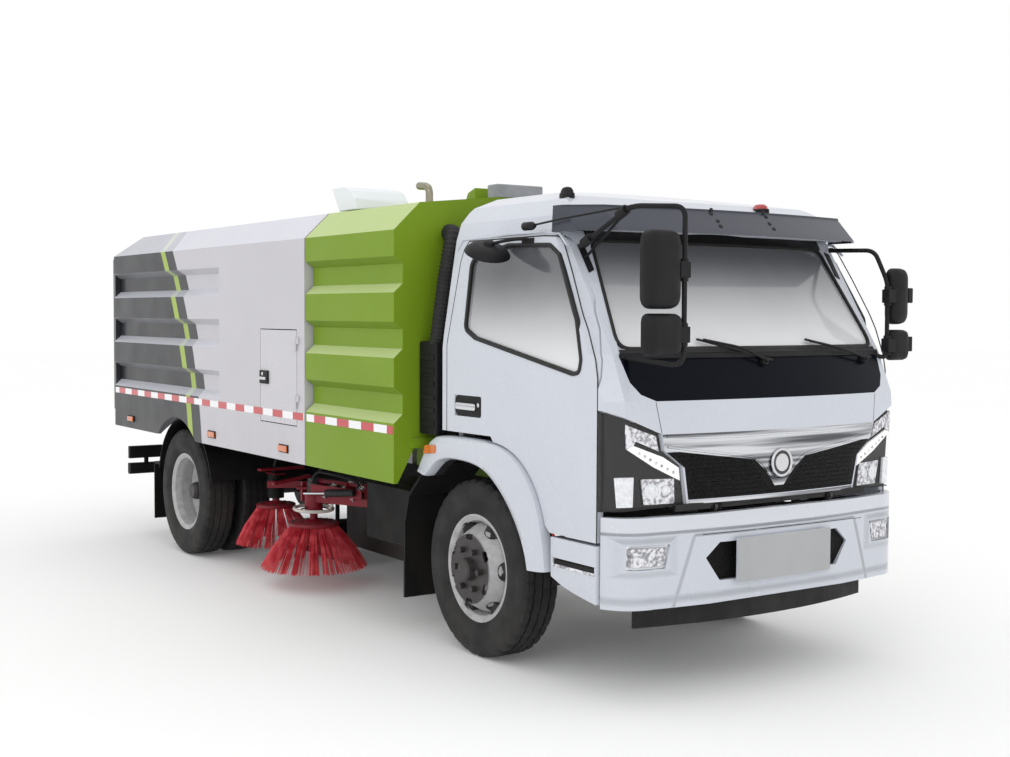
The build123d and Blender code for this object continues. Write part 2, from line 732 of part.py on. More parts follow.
# ------------------------------------------------------------------ tipping hopper
gate_gauge = 50
gate_hinge_x, gate_hinge_z, gate_pin_radius = hopper_rear - 15, eave_z - 10, 6
hatch_hinge_x, hatch_hinge_y, hatch_pin_radius = -1719, -1158, 4
hatch_knuckles = (1220, 1580)  # z of the hatch's knuckles; the wall's sit on top
hatch = {"x": (-2262, -1722), "z": (1112, 1704)}
with BuildPart() as hopper_shell:
    front_plate(mirrored(body_side(True)), (hopper_rear, hopper_rib_end))
    front_plate(mirrored(body_side(False)), (hopper_rib_end, hopper_front))
    with BuildPart(mode=Mode.PRIVATE) as hollow:
        front_plate(mirrored(inner_roof), (hopper_rear - 1, hopper_front - panel_gauge))
        side_plate(
            [
                (hopper_rear - 2, eave_z - 45),
                (hopper_rear + 334, crown_z - 45),
                (hopper_rear + 334, crown_z),
                (hopper_rear - 2, crown_z),
            ],
            (-body_half_width, body_half_width),
            Mode.SUBTRACT,
        )
    add(hollow.part, mode=Mode.SUBTRACT)
    front_plate(mirrored(skirt), (hopper_rear - 1, hopper_front + 1), Mode.SUBTRACT)
    # sloping rear end of the roof
    x = hopper_rear
    side_plate(
        [(x - 1, eave_z), (x + 334, crown_z + 1), (x + 334, crown_z + 9), (x - 1, crown_z + 9)],
        (-body_half_width - 1, body_half_width + 1),
        Mode.SUBTRACT,
    )
    # arches over the rear wheels
    for side in (1, -1):
        y = sorted((side * 1000, side * (body_half_width + 1)))
        cross_bar(rear_axle_x, y, axle_z, arch_radius, Mode.SUBTRACT)
    # hatch opening in the right wall
    block(
        (hatch["x"][0] - swing_gap, hatch["x"][1] + swing_gap),
        (-body_half_width - 1, -body_half_width + body_wall + 1),
        (hatch["z"][0] - swing_gap, hatch["z"][1] + swing_gap),
        Mode.SUBTRACT,
    )
    # long bearers that rest on the frame, bored for the hinge pins
    for side in (1, -1):
        y = sorted((side * (rail_outer_y - 65), side * rail_outer_y))
        block((hopper_hinge_x - 40, hopper_front - 20), y, (rail_top + seat_gap, body_floor + 1))
        cross_bar(hopper_hinge_x, y, hopper_hinge_z, hinge_radius + shaft_gap, Mode.SUBTRACT)
        # knuckles and pins that carry the tailgate
        y = sorted((side * 660.3, side * 720))
        cross_bar(gate_hinge_x, y, gate_hinge_z, 10)
        block((gate_hinge_x, hopper_rear + 4), y, (gate_hinge_z - 8, gate_hinge_z + 8))
        cross_bar(gate_hinge_x, sorted((side * 600, side * 720)), gate_hinge_z, gate_pin_radius)
        # lugs of the tipping cylinder's rod
        lug_y = sorted((side * 40, side * 56))
        block((rod_eye_x - 60, rod_eye_x + 60), lug_y, (rod_eye_z - 40, body_floor + 1))
        cross_bar(rod_eye_x, sorted((side * 38, side * 60)), rod_eye_z, 28)
    # knuckles and pins that carry the hatch
    for z in hatch_knuckles:
        with Locations((hatch_hinge_x, hatch_hinge_y, z + 60.3)):
            Cylinder(8, 40)
        with Locations((hatch_hinge_x, hatch_hinge_y, z + 40)):
            Cylinder(hatch_pin_radius, 80)
        block((hatch_hinge_x, -1680), (hatch_hinge_y - 2, -body_half_width + 1), (z + 40.3, z + 80.3))

with BuildPart() as tailgate:
    y = (-body_half_width + 12, body_half_width - 12)
    block((hopper_rear - swing_gap - gate_gauge, hopper_rear - swing_gap), y, (body_floor - 60, eave_z - 22))
    for z in (1240, 1560, 1880):
        block((hopper_rear - swing_gap - gate_gauge - 22, hopper_rear - swing_gap - gate_gauge), (-1060, 1060), (z, z + 60))
    for side in (1, -1):
        y = sorted((side * 600, side * 660))
        cross_bar(gate_hinge_x, y, gate_hinge_z, 12)
        block((gate_hinge_x - 12, gate_hinge_x + 9), y, (eave_z - 30, gate_hinge_z - 6))
        cross_bar(gate_hinge_x, y, gate_hinge_z, gate_pin_radius + shaft_gap, Mode.SUBTRACT)

with BuildPart() as side_hatch:
    block(hatch["x"], (-body_half_width, -body_half_width + 34), hatch["z"])
    for z in hatch_knuckles:
        with Locations((hatch_hinge_x, hatch_hinge_y, z + 20)):
            Cylinder(8, 40)
        block((-1760, hatch_hinge_x), (hatch_hinge_y - 2, -body_half_width), (z, z + 40))
        with Locations((hatch_hinge_x, hatch_hinge_y, z + 20)):
            Cylinder(hatch_pin_radius + shaft_gap, 40, mode=Mode.SUBTRACT)

reach = hypot(rod_eye_x - barrel_pin_x, rod_eye_z - barrel_pin_z)
along = Plane(
    origin=(barrel_pin_x, 0, barrel_pin_z),
    z_dir=(rod_eye_x - barrel_pin_x, 0, rod_eye_z - barrel_pin_z),
)
barrel_radius, rod_radius = 52, 30
with BuildPart() as tip_barrel:
    cross_bar(barrel_pin_x, (-40, 40), barrel_pin_z, 46)
    with BuildSketch(along):
        Circle(barrel_radius - 12)
    extrude(amount=60)
    with BuildSketch(along.offset(44)):
        Circle(barrel_radius)
    extrude(amount=reach - 130)
    with BuildSketch(along.offset(70)):
        Circle(rod_radius + shaft_gap)
    extrude(amount=reach, mode=Mode.SUBTRACT)
    cross_bar(barrel_pin_x, (-41, 41), barrel_pin_z, hinge_radius + shaft_gap, Mode.SUBTRACT)
with BuildPart() as tip_rod:
    with BuildSketch(along.offset(90)):
        Circle(rod_radius)
    extrude(amount=reach - 110)
    cross_bar(rod_eye_x, (-32, 32), rod_eye_z, 42)
    cross_bar(rod_eye_x, (-35, 35), rod_eye_z, hinge_radius)


# ------------------------------------------------------------------ cab
def cab_plan(inset, bottom, top):
    """Prism of the cab's plan outline, drawn in by inset."""
    half_front = cab_corner_y - inset
    half_rear = cab_half_width - inset
    nose = cab_front - inset
    corner_x = nose - (cab_front_bow - sqrt(cab_front_bow**2 - half_front**2))
    with BuildSketch(Plane.XY.offset(bottom)) as plan:
        with BuildLine():
            ThreePointArc((corner_x, -half_front), (nose, 0), (corner_x, half_front))
            Line((corner_x, half_front), (cab_rear + inset, half_rear))
            Line((cab_rear + inset, half_rear), (cab_rear + inset, -half_rear))
            Line((cab_rear + inset, -half_rear), (corner_x, -half_front))
        make_face()
        fillet(plan.vertices().group_by(Axis.X)[-1], radius=cab_corner_radius - inset)
    extrude(plan.sketch, amount=top - bottom)


face_table = (  # (z, x at the middle) of the front face, from the bumper to the roof
    (900, 1268),
    (1258, 1290),
    (1414, 1278),
    (1628, 1186),
    (2215, 806),
)
roof_table = (  # (x, z) of the cab's middle line from the windscreen over the roof and down
    (806, 2215),
    (800, 2290),
    (620, 2395),
    (150, cab_roof_z),
    (-120, 2440),
    (-190, 2350),
    (-200, 2200),
    (cab_rear, 1700),
)


def cab_form(inset, bottom):
    """The cab's outer form drawn in by inset, as one solid."""
    with BuildPart() as form:
        cab_plan(inset, bottom, cab_roof_z + 10)
        # tumblehome and roof, seen from the front
        side = [
            (1100, bottom),
            (1100, belt_z - 5),
            (cab_half_width - inset, belt_z),
            (drip_y - inset, drip_z),
            (drip_y - 25 - inset, 2290),
            (drip_y - 95 - inset, 2375 - inset / 2),
            (drip_y - 215 - inset, 2425 - inset),
            (340, cab_roof_z - 8 - inset),
            (150, cab_roof_z - inset),
        ]
        front_plate(mirrored(side), (cab_rear - 10, cab_front + 20), Mode.INTERSECT)
        # rake of the rear wall and the roof line, seen from the side
        outline = [
            (cab_rear + inset, bottom),
            (cab_front + 50, bottom),
            (cab_front + 50, roof_table[0][1] - inset),
        ]
        outline += [(x - inset if x > 0 else x + inset, z - inset) for x, z in roof_table]
        side_plate(outline, (-1100, 1100), Mode.INTERSECT)
        # raked bands of the front face, each a bow in plan with its corners turned back
        for (low_z, low_x), (high_z, high_x) in zip(face_table, face_table[1:]):
            corner = 900 - inset / 2
            bow = cab_front_bow
            tip = low_x - inset
            edge = tip - (bow - sqrt(bow**2 - corner**2))
            with BuildSketch(Plane.XY.offset(low_z)) as ahead:
                with BuildLine():
                    ThreePointArc((edge, -corner), (tip, 0), (edge, corner))
                    Polyline(
                        (edge, corner),
                        (edge - 150, corner + 150),
                        (tip + 600, corner + 150),
                        (tip + 600, -corner - 150),
                        (edge - 150, -corner - 150),
                        (edge, -corner),
                    )
                make_face()
            rake = Vector(high_x - low_x, 0, high_z - low_z)
            extrude(ahead.sketch, amount=rake.length, dir=rake.normalized(), mode=Mode.SUBTRACT)
    return form.part


door_outline = (  # (x, z)
    (-190, 1188),
    (480, 1188),
    (660, 1090),
    (790, 950),
    (848, 758),
    (1082, 758),
    (1082, 1520),
    (1066, 1600),
    (1010, 1740),
    (920, 1900),
    (851, 2018),
    (770, 2147),
    (730, 2182),
    (600, 2190),
    (-70, 2190),
    (-112, 2150),
    (-135, 2086),
    (-190, 1670),
)
window_outline = (  # (x, z)
    (-29, 1733),
    (-29, 2075),
    (12, 2112),
    (305, 2158),
    (660, 2146),
    (740, 2100),
    (925, 1790),
    (962, 1600),
    (948, 1540),
    (900, 1532),
    (77, 1687),
)
fender_outline = (  # (x, z) round the front wheel's arch
    (-222, 1136),
    (-192, 1182),
    (477, 1182),
    (654, 1085),
    (783, 946),
    (841, 757),
    (856, 600),
    (722, 588),
    (690, 645),
    (604, 822),
    (472, 972),
    (290, 1052),
    (100, 1066),
    (-44, 1052),
    (-218, 948),
    (-290, 962),
)
door_depth_y = 875  # the door openings are cut from here outwards
windscreen_outline = mirrored([(861, 1652), (781, 2172)])
rear_window_outline = mirrored([(620, 1620), (560, 2080)])
headlight_outline = ((990, 1378), (718, 1262), (700, 1185), (596, 1108), (563, 926), (990, 905))
chrome_outline = mirrored([(714, 1260), (697, 1187), (170, 1120), (92, 1060), (30, 985)])
grille_outline = mirrored([(686, 1176), (584, 1100), (555, 948)])
strip_outline = mirrored([(554, 943), (551, 927)])
cowl_outline = mirrored([(872, 1622), (850, 1500), (810, 1445), (738, 1414)])
front_depth = 30
lamp_rear_x = 1088.3


def plan_shape(points, plane, grow=0):
    """A closed outline on a plane, grown outwards."""
    with BuildSketch(plane) as outline:
        with BuildLine():
            Polyline(*points, close=True)
        make_face()
        if grow:
            offset(amount=grow, kind=Kind.INTERSECTION)
    return outline.sketch


def slice_between(outer, inner, cutter):
    """What a cutter keeps of the skin between two forms."""
    with BuildPart() as skin:
        add(outer)
        add(inner, mode=Mode.SUBTRACT)
        add(cutter, mode=Mode.INTERSECT)
    return skin.part


def side_cutter(points, side, grow=0, y=(door_depth_y, 1200)):
    """Prism along y through one side of the cab."""
    with BuildPart() as cutter:
        face = plan_shape(points, Plane.XZ.offset(-max(side * y[0], side * y[1])), grow)
        extrude(face, amount=y[1] - y[0])
    return cutter.part


def front_cutter(points, grow=0, x=(600, 1400)):
    """Prism along x through the cab's front."""
    with BuildPart() as cutter:
        extrude(plan_shape(points, Plane.YZ.offset(x[0]), grow), amount=x[1] - x[0])
    return cutter.part


form_outer = cab_form(0, cab_bottom)
form_front = cab_form(front_depth, cab_bottom - 10)
form_door = cab_form(door_gauge, cab_bottom - 10)
form_room = cab_form(cab_wall, cab_floor + floor_gauge)
glass_faces = (cab_form(10, cab_bottom), cab_form(18, cab_bottom - 10))
housing_radius = 600
housing_inner_y = 580

with BuildPart() as cab_shell:
    add(form_outer)
    add(form_room, mode=Mode.SUBTRACT)
    block((cab_rear - 10, lamp_rear_x), (-1100, 1100), (cab_bottom - 1, cab_floor), Mode.SUBTRACT)
    block((lamp_rear_x - 1, cab_front + 20), (-1100, 1100), (cab_bottom - 1, 925), Mode.SUBTRACT)
    for side in (1, -1):
        # wheel housing over the front wheel
        outer_y = door_depth_y + 20
        cross_bar(0, sorted((side * housing_inner_y, side * 1100)), axle_z, housing_radius, Mode.SUBTRACT)
        with BuildPart(mode=Mode.PRIVATE) as housing:
            cross_bar(0, sorted((side * (housing_inner_y - 20), side * outer_y)), axle_z, housing_radius + 22)
            cross_bar(0, sorted((side * housing_inner_y, side * (outer_y + 1))), axle_z, housing_radius, Mode.SUBTRACT)
            y = sorted((side * 500, side * 1000))
            block((cab_rear, 800), y, (cab_floor, 1200), Mode.INTERSECT)
        add(housing.part)
        add(side_cutter(door_outline, side, swing_gap), mode=Mode.SUBTRACT)
        # room for the front fender, the panels and lamps of the front face
        below = [(x, z) for x, z in door_outline[:5]] + [(848, 700), (-400, 700), (-400, 1188)]
        add(side_cutter(below, side, seat_gap, (outer_y + seat_gap, 1200)), mode=Mode.SUBTRACT)
        lamp = [(side * y, z) for y, z in headlight_outline]
        add(
            slice_between(form_outer, form_front, front_cutter(lamp, seat_gap, (lamp_rear_x - seat_gap, 1400))),
            mode=Mode.SUBTRACT,
        )
    for outline in (chrome_outline, grille_outline, strip_outline, cowl_outline):
        add(slice_between(form_outer, form_front, front_cutter(outline, seat_gap, (900, 1400))), mode=Mode.SUBTRACT)
    add(front_cutter(windscreen_outline), mode=Mode.SUBTRACT)
    add(front_cutter(rear_window_outline, 0, (cab_rear - 10, 0)), mode=Mode.SUBTRACT)
    for side in (1, -1):
        # notches over the frame's tilt brackets, and ears on the tilt pins
        notch_y = sorted((side * (rail_outer_y - 26), side * (rail_outer_y + 4)))
        cross_bar(tilt_x, notch_y, tilt_z, 28, Mode.SUBTRACT)
        block((rail_front - 80, tilt_x), notch_y, (cab_bottom, tilt_z + 28), Mode.SUBTRACT)
        ear_y = sorted((side * (rail_outer_y + 6), side * (rail_outer_y + 26)))
        cross_bar(tilt_x, ear_y, tilt_z, 20)
        block((tilt_x - 46, tilt_x - 16), ear_y, (tilt_z - 6, cab_floor + 1))
        cross_bar(tilt_x, ear_y, tilt_z, tilt_pin_radius + shaft_gap, Mode.SUBTRACT)


def door(side):
    """One door skin with its window cut, as thick as the whole door."""
    with BuildPart() as part:
        add(slice_between(form_outer, form_door, side_cutter(door_outline, side)))
        add(side_cutter(window_outline, side), mode=Mode.SUBTRACT)
        # recess of the handle
        y = sorted((side * 988, side * 1010))
        block((-115, 135), y, (1275, 1385), Mode.SUBTRACT)
    return part


def door_glass(side):
    with BuildPart() as part:
        add(slice_between(*glass_faces, side_cutter(window_outline, side, -seat_gap)))
    return part


def front_panel(outline):
    with BuildPart() as part:
        add(slice_between(form_outer, form_front, front_cutter(outline, 0, (900, 1400))))
    return part


door_left, door_right = door(1), door(-1)
door_glass_left, door_glass_right = door_glass(1), door_glass(-1)
cowl_panel = front_panel(cowl_outline)
with BuildPart() as chrome_trim:
    add(slice_between(form_outer, form_front, front_cutter(chrome_outline, 0, (900, 1400))))
    add(slice_between(form_outer, form_front, front_cutter(strip_outline, 0, (900, 1400))))
with BuildPart() as grille:
    add(slice_between(form_outer, form_front, front_cutter(grille_outline, 0, (900, 1400))))
    add(front_cutter(chrome_outline, 2, (900, 1400)), mode=Mode.SUBTRACT)
with BuildPart() as headlights:
    for side in (1, -1):
        lamp = [(side * y, z) for y, z in headlight_outline]
        add(slice_between(form_outer, form_front, front_cutter(lamp, 0, (lamp_rear_x, 1400))))
with BuildPart() as cab_glass:
    add(slice_between(*glass_faces, front_cutter(windscreen_outline, -seat_gap)))
    add(slice_between(*glass_faces, front_cutter(rear_window_outline, -seat_gap, (cab_rear - 10, 0))))

with BuildPart() as front_fenders:
    for side in (1, -1):
        inner, flat, edge = door_depth_y + 20.6, 1052, 1092
        add(side_cutter(fender_outline, side, 0, (inner, flat)))
        face = plan_shape(fender_outline, Plane.XZ.offset(-side * flat))
        extrude(face, amount=-side * (edge - flat), taper=28)

# ------------------------------------------------------------------ cab fittings
visor_tip, visor_low, visor_high, visor_gauge = 1079, 2205, 2322, 12
visor_rake = (-115, 0, visor_high - visor_low)


def visor_plan(inset, z, shift, thick):
    """Slab of the visor's plan outline at height z, moved back by shift."""
    bow = cab_front_bow
    edge_y = 800 - inset
    tip = visor_tip - inset - shift
    edge = tip - (bow - sqrt(bow**2 - edge_y**2))
    with BuildSketch(Plane.XY.offset(z)) as plan:
        with BuildLine():
            ThreePointArc((edge, -edge_y), (tip, 0), (edge, edge_y))
            Polyline(
                (edge, edge_y),
                (880 - shift, 945 - inset),
                (560 - shift, 962 - inset),
                (560 - shift, -962 + inset),
                (880 - shift, -945 + inset),
                (edge, -edge_y),
            )
        make_face()
    return plan.sketch


with BuildPart() as sun_visor:
    rake = Vector(*visor_rake)
    extrude(visor_plan(0, visor_low, 0, 0), amount=rake.length, dir=rake.normalized())
    extrude(
        visor_plan(visor_gauge, visor_low, 0, 0),
        amount=rake.length,
        dir=rake.normalized(),
        mode=Mode.SUBTRACT,
    )
    extrude(visor_plan(0, visor_high, -visor_rake[0], 0), amount=10)
    block((690, 1200), (-1100, 1100), (visor_low - 1, visor_high + 20), Mode.INTERSECT)
    add(cab_form(-seat_gap, cab_bottom), mode=Mode.SUBTRACT)

mirror_tube = 12
near_bar = (1450, -780)  # (x, y) of the upright tube
far_bar = (1130, 930)
mirror_arms = (  # points along each tube
    ((1095, -842, 1612), (near_bar[0] - 40, near_bar[1], 1585), (*near_bar, 1620), (*near_bar, 2290),
     (1230, -905, 2300), (860, -915, 2130)),
    ((1095, 842, 1612), (far_bar[0] + 10, far_bar[1] - 20, 1585), (*far_bar, 1640), (*far_bar, 1985),
     (1040, 925, 2160), (790, 850, 2165)),
)
mirror_heads = (  # x, y, z ranges
    ((1418, 1478), (-1050, -800), (1830, 2185)),
    ((1418, 1478), (-1050, -800), (1625, 1812)),
    ((1105, 1165), (948, 1130), (1765, 2070)),
    ((1105, 1165), (948, 1130), (1610, 1748)),
)
with BuildPart() as mirrors:
    for points in mirror_arms:
        for a, b in zip(points, points[1:]):
            run = Vector(*b) - Vector(*a)
            with BuildSketch(Plane(origin=a, z_dir=run)):
                Circle(mirror_tube)
            extrude(amount=run.length)
            with Locations(b):
                Sphere(mirror_tube)
    for x, y, z in mirror_heads:
        with BuildSketch(Plane.YZ.offset(x[0])):
            with Locations(((y[0] + y[1]) / 2, (z[0] + z[1]) / 2)):
                RectangleRounded(y[1] - y[0], z[1] - z[0], 34)
        extrude(amount=x[1] - x[0])
        bar_y = near_bar[1] if y[0] < 0 else far_bar[1]
        gap_y = sorted((bar_y, y[1] if y[0] < 0 else y[0]))
        mid_z = (z[0] + z[1]) / 2
        block((x[0] + 14, x[1] - 14), (gap_y[0] - 4, gap_y[1] + 4), (mid_z - 26, mid_z + 26))
    add(cab_form(-seat_gap, cab_bottom), mode=Mode.SUBTRACT)

with BuildPart() as seats:
    for side in (1, -1):
        y = sorted((side * 310, side * 770))
        block((60, 420), sorted((side * 335, side * 545)), (cab_floor + floor_gauge + seat_gap, 1300))
        block((-30, 405), y, (1290, 1420))
        side_plate([(-30, 1400), (60, 1400), (-40, 1960), (-120, 1960)], y)
        block((-130, -50), sorted((side * 430, side * 650)), (1955, 2110))

with BuildPart() as dashboard:
    add(cab_form(cab_wall + seat_gap, 1001))
    block((800, 1400), (-880, 880), (1330, 1560), Mode.INTERSECT)

wheel_x, wheel_y, wheel_z = 600, 440, 1590
with BuildPart() as steering_wheel:
    tilted = Plane(origin=(wheel_x, wheel_y, wheel_z), z_dir=(-0.62, 0, 0.78))
    with Locations(tilted.location):
        Torus(205, 15)
        Cylinder(55, 34)
        Box(30, 400, 14)
    column = Vector(0.62, 0, -0.78)
    with BuildSketch(Plane(origin=(wheel_x, wheel_y, wheel_z), z_dir=column)):
        Circle(26)
    extrude(amount=250)
    block((wheel_x, 799.7), (wheel_y - 40, wheel_y + 40), (1350, 1420))

# ------------------------------------------------------------------ bumper, steps and lamps
bumper_end_x, bumper_end_y = 1096, 963


def bumper_form(inset):
    """The bumper's outer form drawn in by inset: a bow with turned corners."""
    with BuildPart() as form:
        nose = bumper_front - inset
        half = bumper_end_y - inset
        shoulder_y = 760
        shoulder = nose - (cab_front_bow - sqrt(cab_front_bow**2 - shoulder_y**2))
        with BuildSketch(Plane.XY.offset(bumper_bottom)) as plan:
            with BuildLine():
                ThreePointArc((shoulder, -shoulder_y), (nose, 0), (shoulder, shoulder_y))
                ThreePointArc(
                    (shoulder, shoulder_y),
                    (shoulder - 38, (shoulder_y + half) / 2 + 26),
                    (bumper_end_x, half),
                )
                Line((bumper_end_x, half), (bumper_end_x, -half))
                ThreePointArc(
                    (bumper_end_x, -half),
                    (shoulder - 38, -(shoulder_y + half) / 2 - 26),
                    (shoulder, -shoulder_y),
                )
            make_face()
        extrude(plan.sketch, amount=bumper_top - bumper_bottom)
        front = [
            (1000, bumper_bottom),
            (nose - 22, bumper_bottom),
            (nose, 640),
            (nose - 4, 840),
            (nose - 24, bumper_top),
            (1000, bumper_top),
        ]
        side_plate(front, (-1000, 1000), Mode.INTERSECT)
    return form.part


opening_outline = mirrored([(395, 742), (476, 672), (395, 560)])
fog_outline = ((674, 752), (892, 752), (892, 640), (700, 640))
with BuildPart() as front_bumper:
    add(bumper_form(0))
    add(bumper_form(bumper_gauge), mode=Mode.SUBTRACT)
    front_plate(opening_outline, (1200, 1320), Mode.SUBTRACT)
    for side in (1, -1):
        front_plate([(side * y, z) for y, z in fog_outline], (1150, 1320), Mode.SUBTRACT)
        y = sorted((side * 330, side * (rail_outer_y - 20 - seat_gap)))
        block((rail_front - 30, bumper_front - 62), y, (765, 800))
    block((bumper_front - 87, bumper_front - 57), (-620, 620), (765, 800))
    # blank plate on its holder
    block((bumper_front - 26, bumper_front - 14), (-200, 200), (500, 800))
    block((bumper_front - 30, bumper_front + 12), (-120, 120), (600, 700))
    block((bumper_front + 10, bumper_front + 18), (-315, 315), (546, 757))

with BuildPart() as fog_lamps:
    for side in (1, -1):
        with BuildPart(mode=Mode.PRIVATE) as lamp:
            add(bumper_form(8))
            add(bumper_form(34), mode=Mode.SUBTRACT)
            grown_fog = plan_shape([(side * y, z) for y, z in fog_outline], Plane.YZ.offset(1150), -seat_gap)
            extrude(grown_fog, amount=200, mode=Mode.INTERSECT)
        add(lamp.part)

with BuildPart() as bumper_valance:
    with BuildSketch(Plane.XY.offset(341)):
        with BuildLine():
            ThreePointArc((1103, -773), (1203, 0), (1103, 773))
            Line((1103, 773), (1087, 766))
            ThreePointArc((1087, 766), (1187, 0), (1087, -766))
            Line((1087, -766), (1103, -773))
        make_face()
    extrude(amount=96)
    for side in (1, -1):
        y = sorted((side * 310, side * 350))
        side_plate([(990, 500), (1160, 360), (1178, 360), (1178, 400), (1020, 540), (990, 540)], y)
        block((990, 1020), y, (500, rail_top - rail_height - seat_gap))

step_outline = ((866, 742), (lamp_rear_x - 0.3, 742), (lamp_rear_x - 0.3, 470), (935, 500), (866, 560))
with BuildPart() as step_panels:
    for side in (1, -1):
        y = sorted((side * 880, side * 985))
        side_plate(step_outline, y)
        block((880, 1076), sorted((side * 955, side * 990)), (664, 728), Mode.SUBTRACT)
        arm_y = sorted((side * (rail_outer_y + seat_gap), side * 890))
        block((930, 980), arm_y, (632, 660))

pieces = {
    "frame_rails": frame_rails,
    "front_axle_beam": front_axle_beam,
    "knuckle_left": knuckle_left,
    "knuckle_right": knuckle_right,
    "rear_axle": rear_axle,
    "leaf_springs": leaf_springs,
    "front_tyre_left": front_tyre_left,
    "front_tyre_right": front_tyre_right,
    "front_rim_left": front_rim_left,
    "front_rim_right": front_rim_right,
    "rear_tyres_left": rear_tyres_left,
    "rear_tyres_right": rear_tyres_right,
    "rear_rims_left": rear_rims_left,
    "rear_rims_right": rear_rims_right,
    "engines": engines,
    "drive_shaft": drive_shaft,
    "fuel_tank": fuel_tank,
    "battery_box": battery_box,
    "mudguards": mudguards,
    "rear_underrun": rear_underrun,
    "front_bumper": front_bumper,
    "fog_lamps": fog_lamps,
    "bumper_valance": bumper_valance,
    "step_panels": step_panels,
    "compartment": compartment,
    "roof_hood": roof_hood,
    "exhaust_elbow": exhaust_elbow,
    "intake_stack": intake_stack,
    "broom_hangers": broom_hangers,
    "broom_arm_left": broom_arm_left,
    "broom_arm_right": broom_arm_right,
    "broom_front_left": broom_front_left,
    "broom_front_right": broom_front_right,
    "broom_rear_left": broom_rear_left,
    "broom_rear_right": broom_rear_right,
    "suction_nozzle": suction_nozzle,
    "hopper_shell": hopper_shell,
    "tailgate": tailgate,
    "side_hatch": side_hatch,
    "tip_barrel": tip_barrel,
    "tip_rod": tip_rod,
    "cab_shell": cab_shell,
    "cab_glass": cab_glass,
    "door_left": door_left,
    "door_right": door_right,
    "door_glass_left": door_glass_left,
    "door_glass_right": door_glass_right,
    "front_fenders": front_fenders,
    "headlights": headlights,
    "grille": grille,
    "chrome_trim": chrome_trim,
    "cowl_panel": cowl_panel,
    "sun_visor": sun_visor,
    "mirrors": mirrors,
    "seats": seats,
    "dashboard": dashboard,
    "steering_wheel": steering_wheel,
}

rear_reach = hopper_rear - swing_gap - gate_gauge - 22
front_reach = mirror_heads[0][0][1]
middle_x = (rear_reach + front_reach) / 2

os.makedirs("parts", exist_ok=True)
for name, piece in pieces.items():
    solid = piece.part.moved(Location((-middle_x, 0, 0)))
    solid.label = name
    export_step(solid, f"parts/{name}.step")
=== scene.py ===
"""Street sweeper truck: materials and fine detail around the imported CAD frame.

Metres in the row frame: +X forward, +Y to the truck's left, +Z up.  Places along the
truck are given from the front axle, as at(x, y, z).  A side is -1 (right) or 1 (left).
"""
import math
import random

import bmesh
import bpy
from mathutils import Matrix, Vector
from mathutils.bvhtree import BVHTree


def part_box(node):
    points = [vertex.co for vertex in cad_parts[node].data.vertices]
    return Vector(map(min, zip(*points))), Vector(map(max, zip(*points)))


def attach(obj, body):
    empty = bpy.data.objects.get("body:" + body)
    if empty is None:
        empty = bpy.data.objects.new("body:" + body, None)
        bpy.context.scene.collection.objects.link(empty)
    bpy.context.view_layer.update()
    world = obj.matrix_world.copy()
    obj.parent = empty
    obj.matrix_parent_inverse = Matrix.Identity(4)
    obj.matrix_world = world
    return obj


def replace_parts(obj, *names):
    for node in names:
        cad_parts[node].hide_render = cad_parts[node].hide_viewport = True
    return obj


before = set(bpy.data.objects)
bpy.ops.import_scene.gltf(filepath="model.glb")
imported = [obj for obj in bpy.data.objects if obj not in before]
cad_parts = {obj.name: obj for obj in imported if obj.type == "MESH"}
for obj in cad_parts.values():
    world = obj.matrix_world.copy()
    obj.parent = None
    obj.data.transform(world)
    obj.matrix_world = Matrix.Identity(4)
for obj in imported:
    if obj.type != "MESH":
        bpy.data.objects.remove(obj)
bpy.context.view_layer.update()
random.seed(7)

SIDES = ((-1, "right"), (1, "left"))
tyre_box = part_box("front_tyre_left")
axle_x = (tyre_box[0].x + tyre_box[1].x) / 2
tyre_radius = (tyre_box[1].z - tyre_box[0].z) / 2
wheelbase = 3.8
up = Vector((0, 0, 1))


def at(x, y, z):
    """A point whose x is measured from the front axle."""
    return Vector((axle_x + x, y, z))


def span(middle, half):
    return middle - half, middle + half


def flip(point):
    """The same point on the other side of the truck."""
    return Vector((point.x, -point.y, point.z))


def linked(name, data):
    """A new object in the scene."""
    obj = bpy.data.objects.new(name, data)
    bpy.context.collection.objects.link(obj)
    return obj


# ------------------------------------------------------------------ camera
PHOTO_SIZE = (1010, 757)
focal_px = 1373.4
camera_place = at(6.045, -4.842, 1.813)
turn, dip, roll = 0.5945, 0.04715, 0.00443  # radians

forward = Vector((-math.cos(turn) * math.cos(dip), math.sin(turn) * math.cos(dip), -math.sin(dip)))
level = forward.cross(up).normalized()
over = level.cross(forward)
across = level * math.cos(roll) + over * math.sin(roll)
upward = over * math.cos(roll) - level * math.sin(roll)


def pixel_ray(px, py):
    """Direction from the camera through a point of the photograph's frame."""
    dx, dy = px - PHOTO_SIZE[0] / 2, py - PHOTO_SIZE[1] / 2
    return (forward * focal_px + across * dx - upward * dy).normalized()


def make_camera():
    data = bpy.data.cameras.new("camera")
    data.sensor_width = 36
    data.lens = focal_px * data.sensor_width / PHOTO_SIZE[0]
    data.clip_end = 200
    camera = linked("camera", data)
    axes = Matrix((across, upward, -forward)).transposed().to_4x4()
    camera.matrix_world = Matrix.Translation(camera_place) @ axes
    bpy.context.scene.camera = camera


make_camera()

# ------------------------------------------------------------------ surfaces of the frame
trees = {}


def tree(*nodes):
    """Ray-casting tree over the meshes of some CAD nodes."""
    if nodes not in trees:
        points, faces = [], []
        for name in nodes:
            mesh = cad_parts[name].data
            start = len(points)
            points += [v.co.copy() for v in mesh.vertices]
            faces += [[start + i for i in p.vertices] for p in mesh.polygons]
        trees[nodes] = BVHTree.FromPolygons(points, faces)
    return trees[nodes]


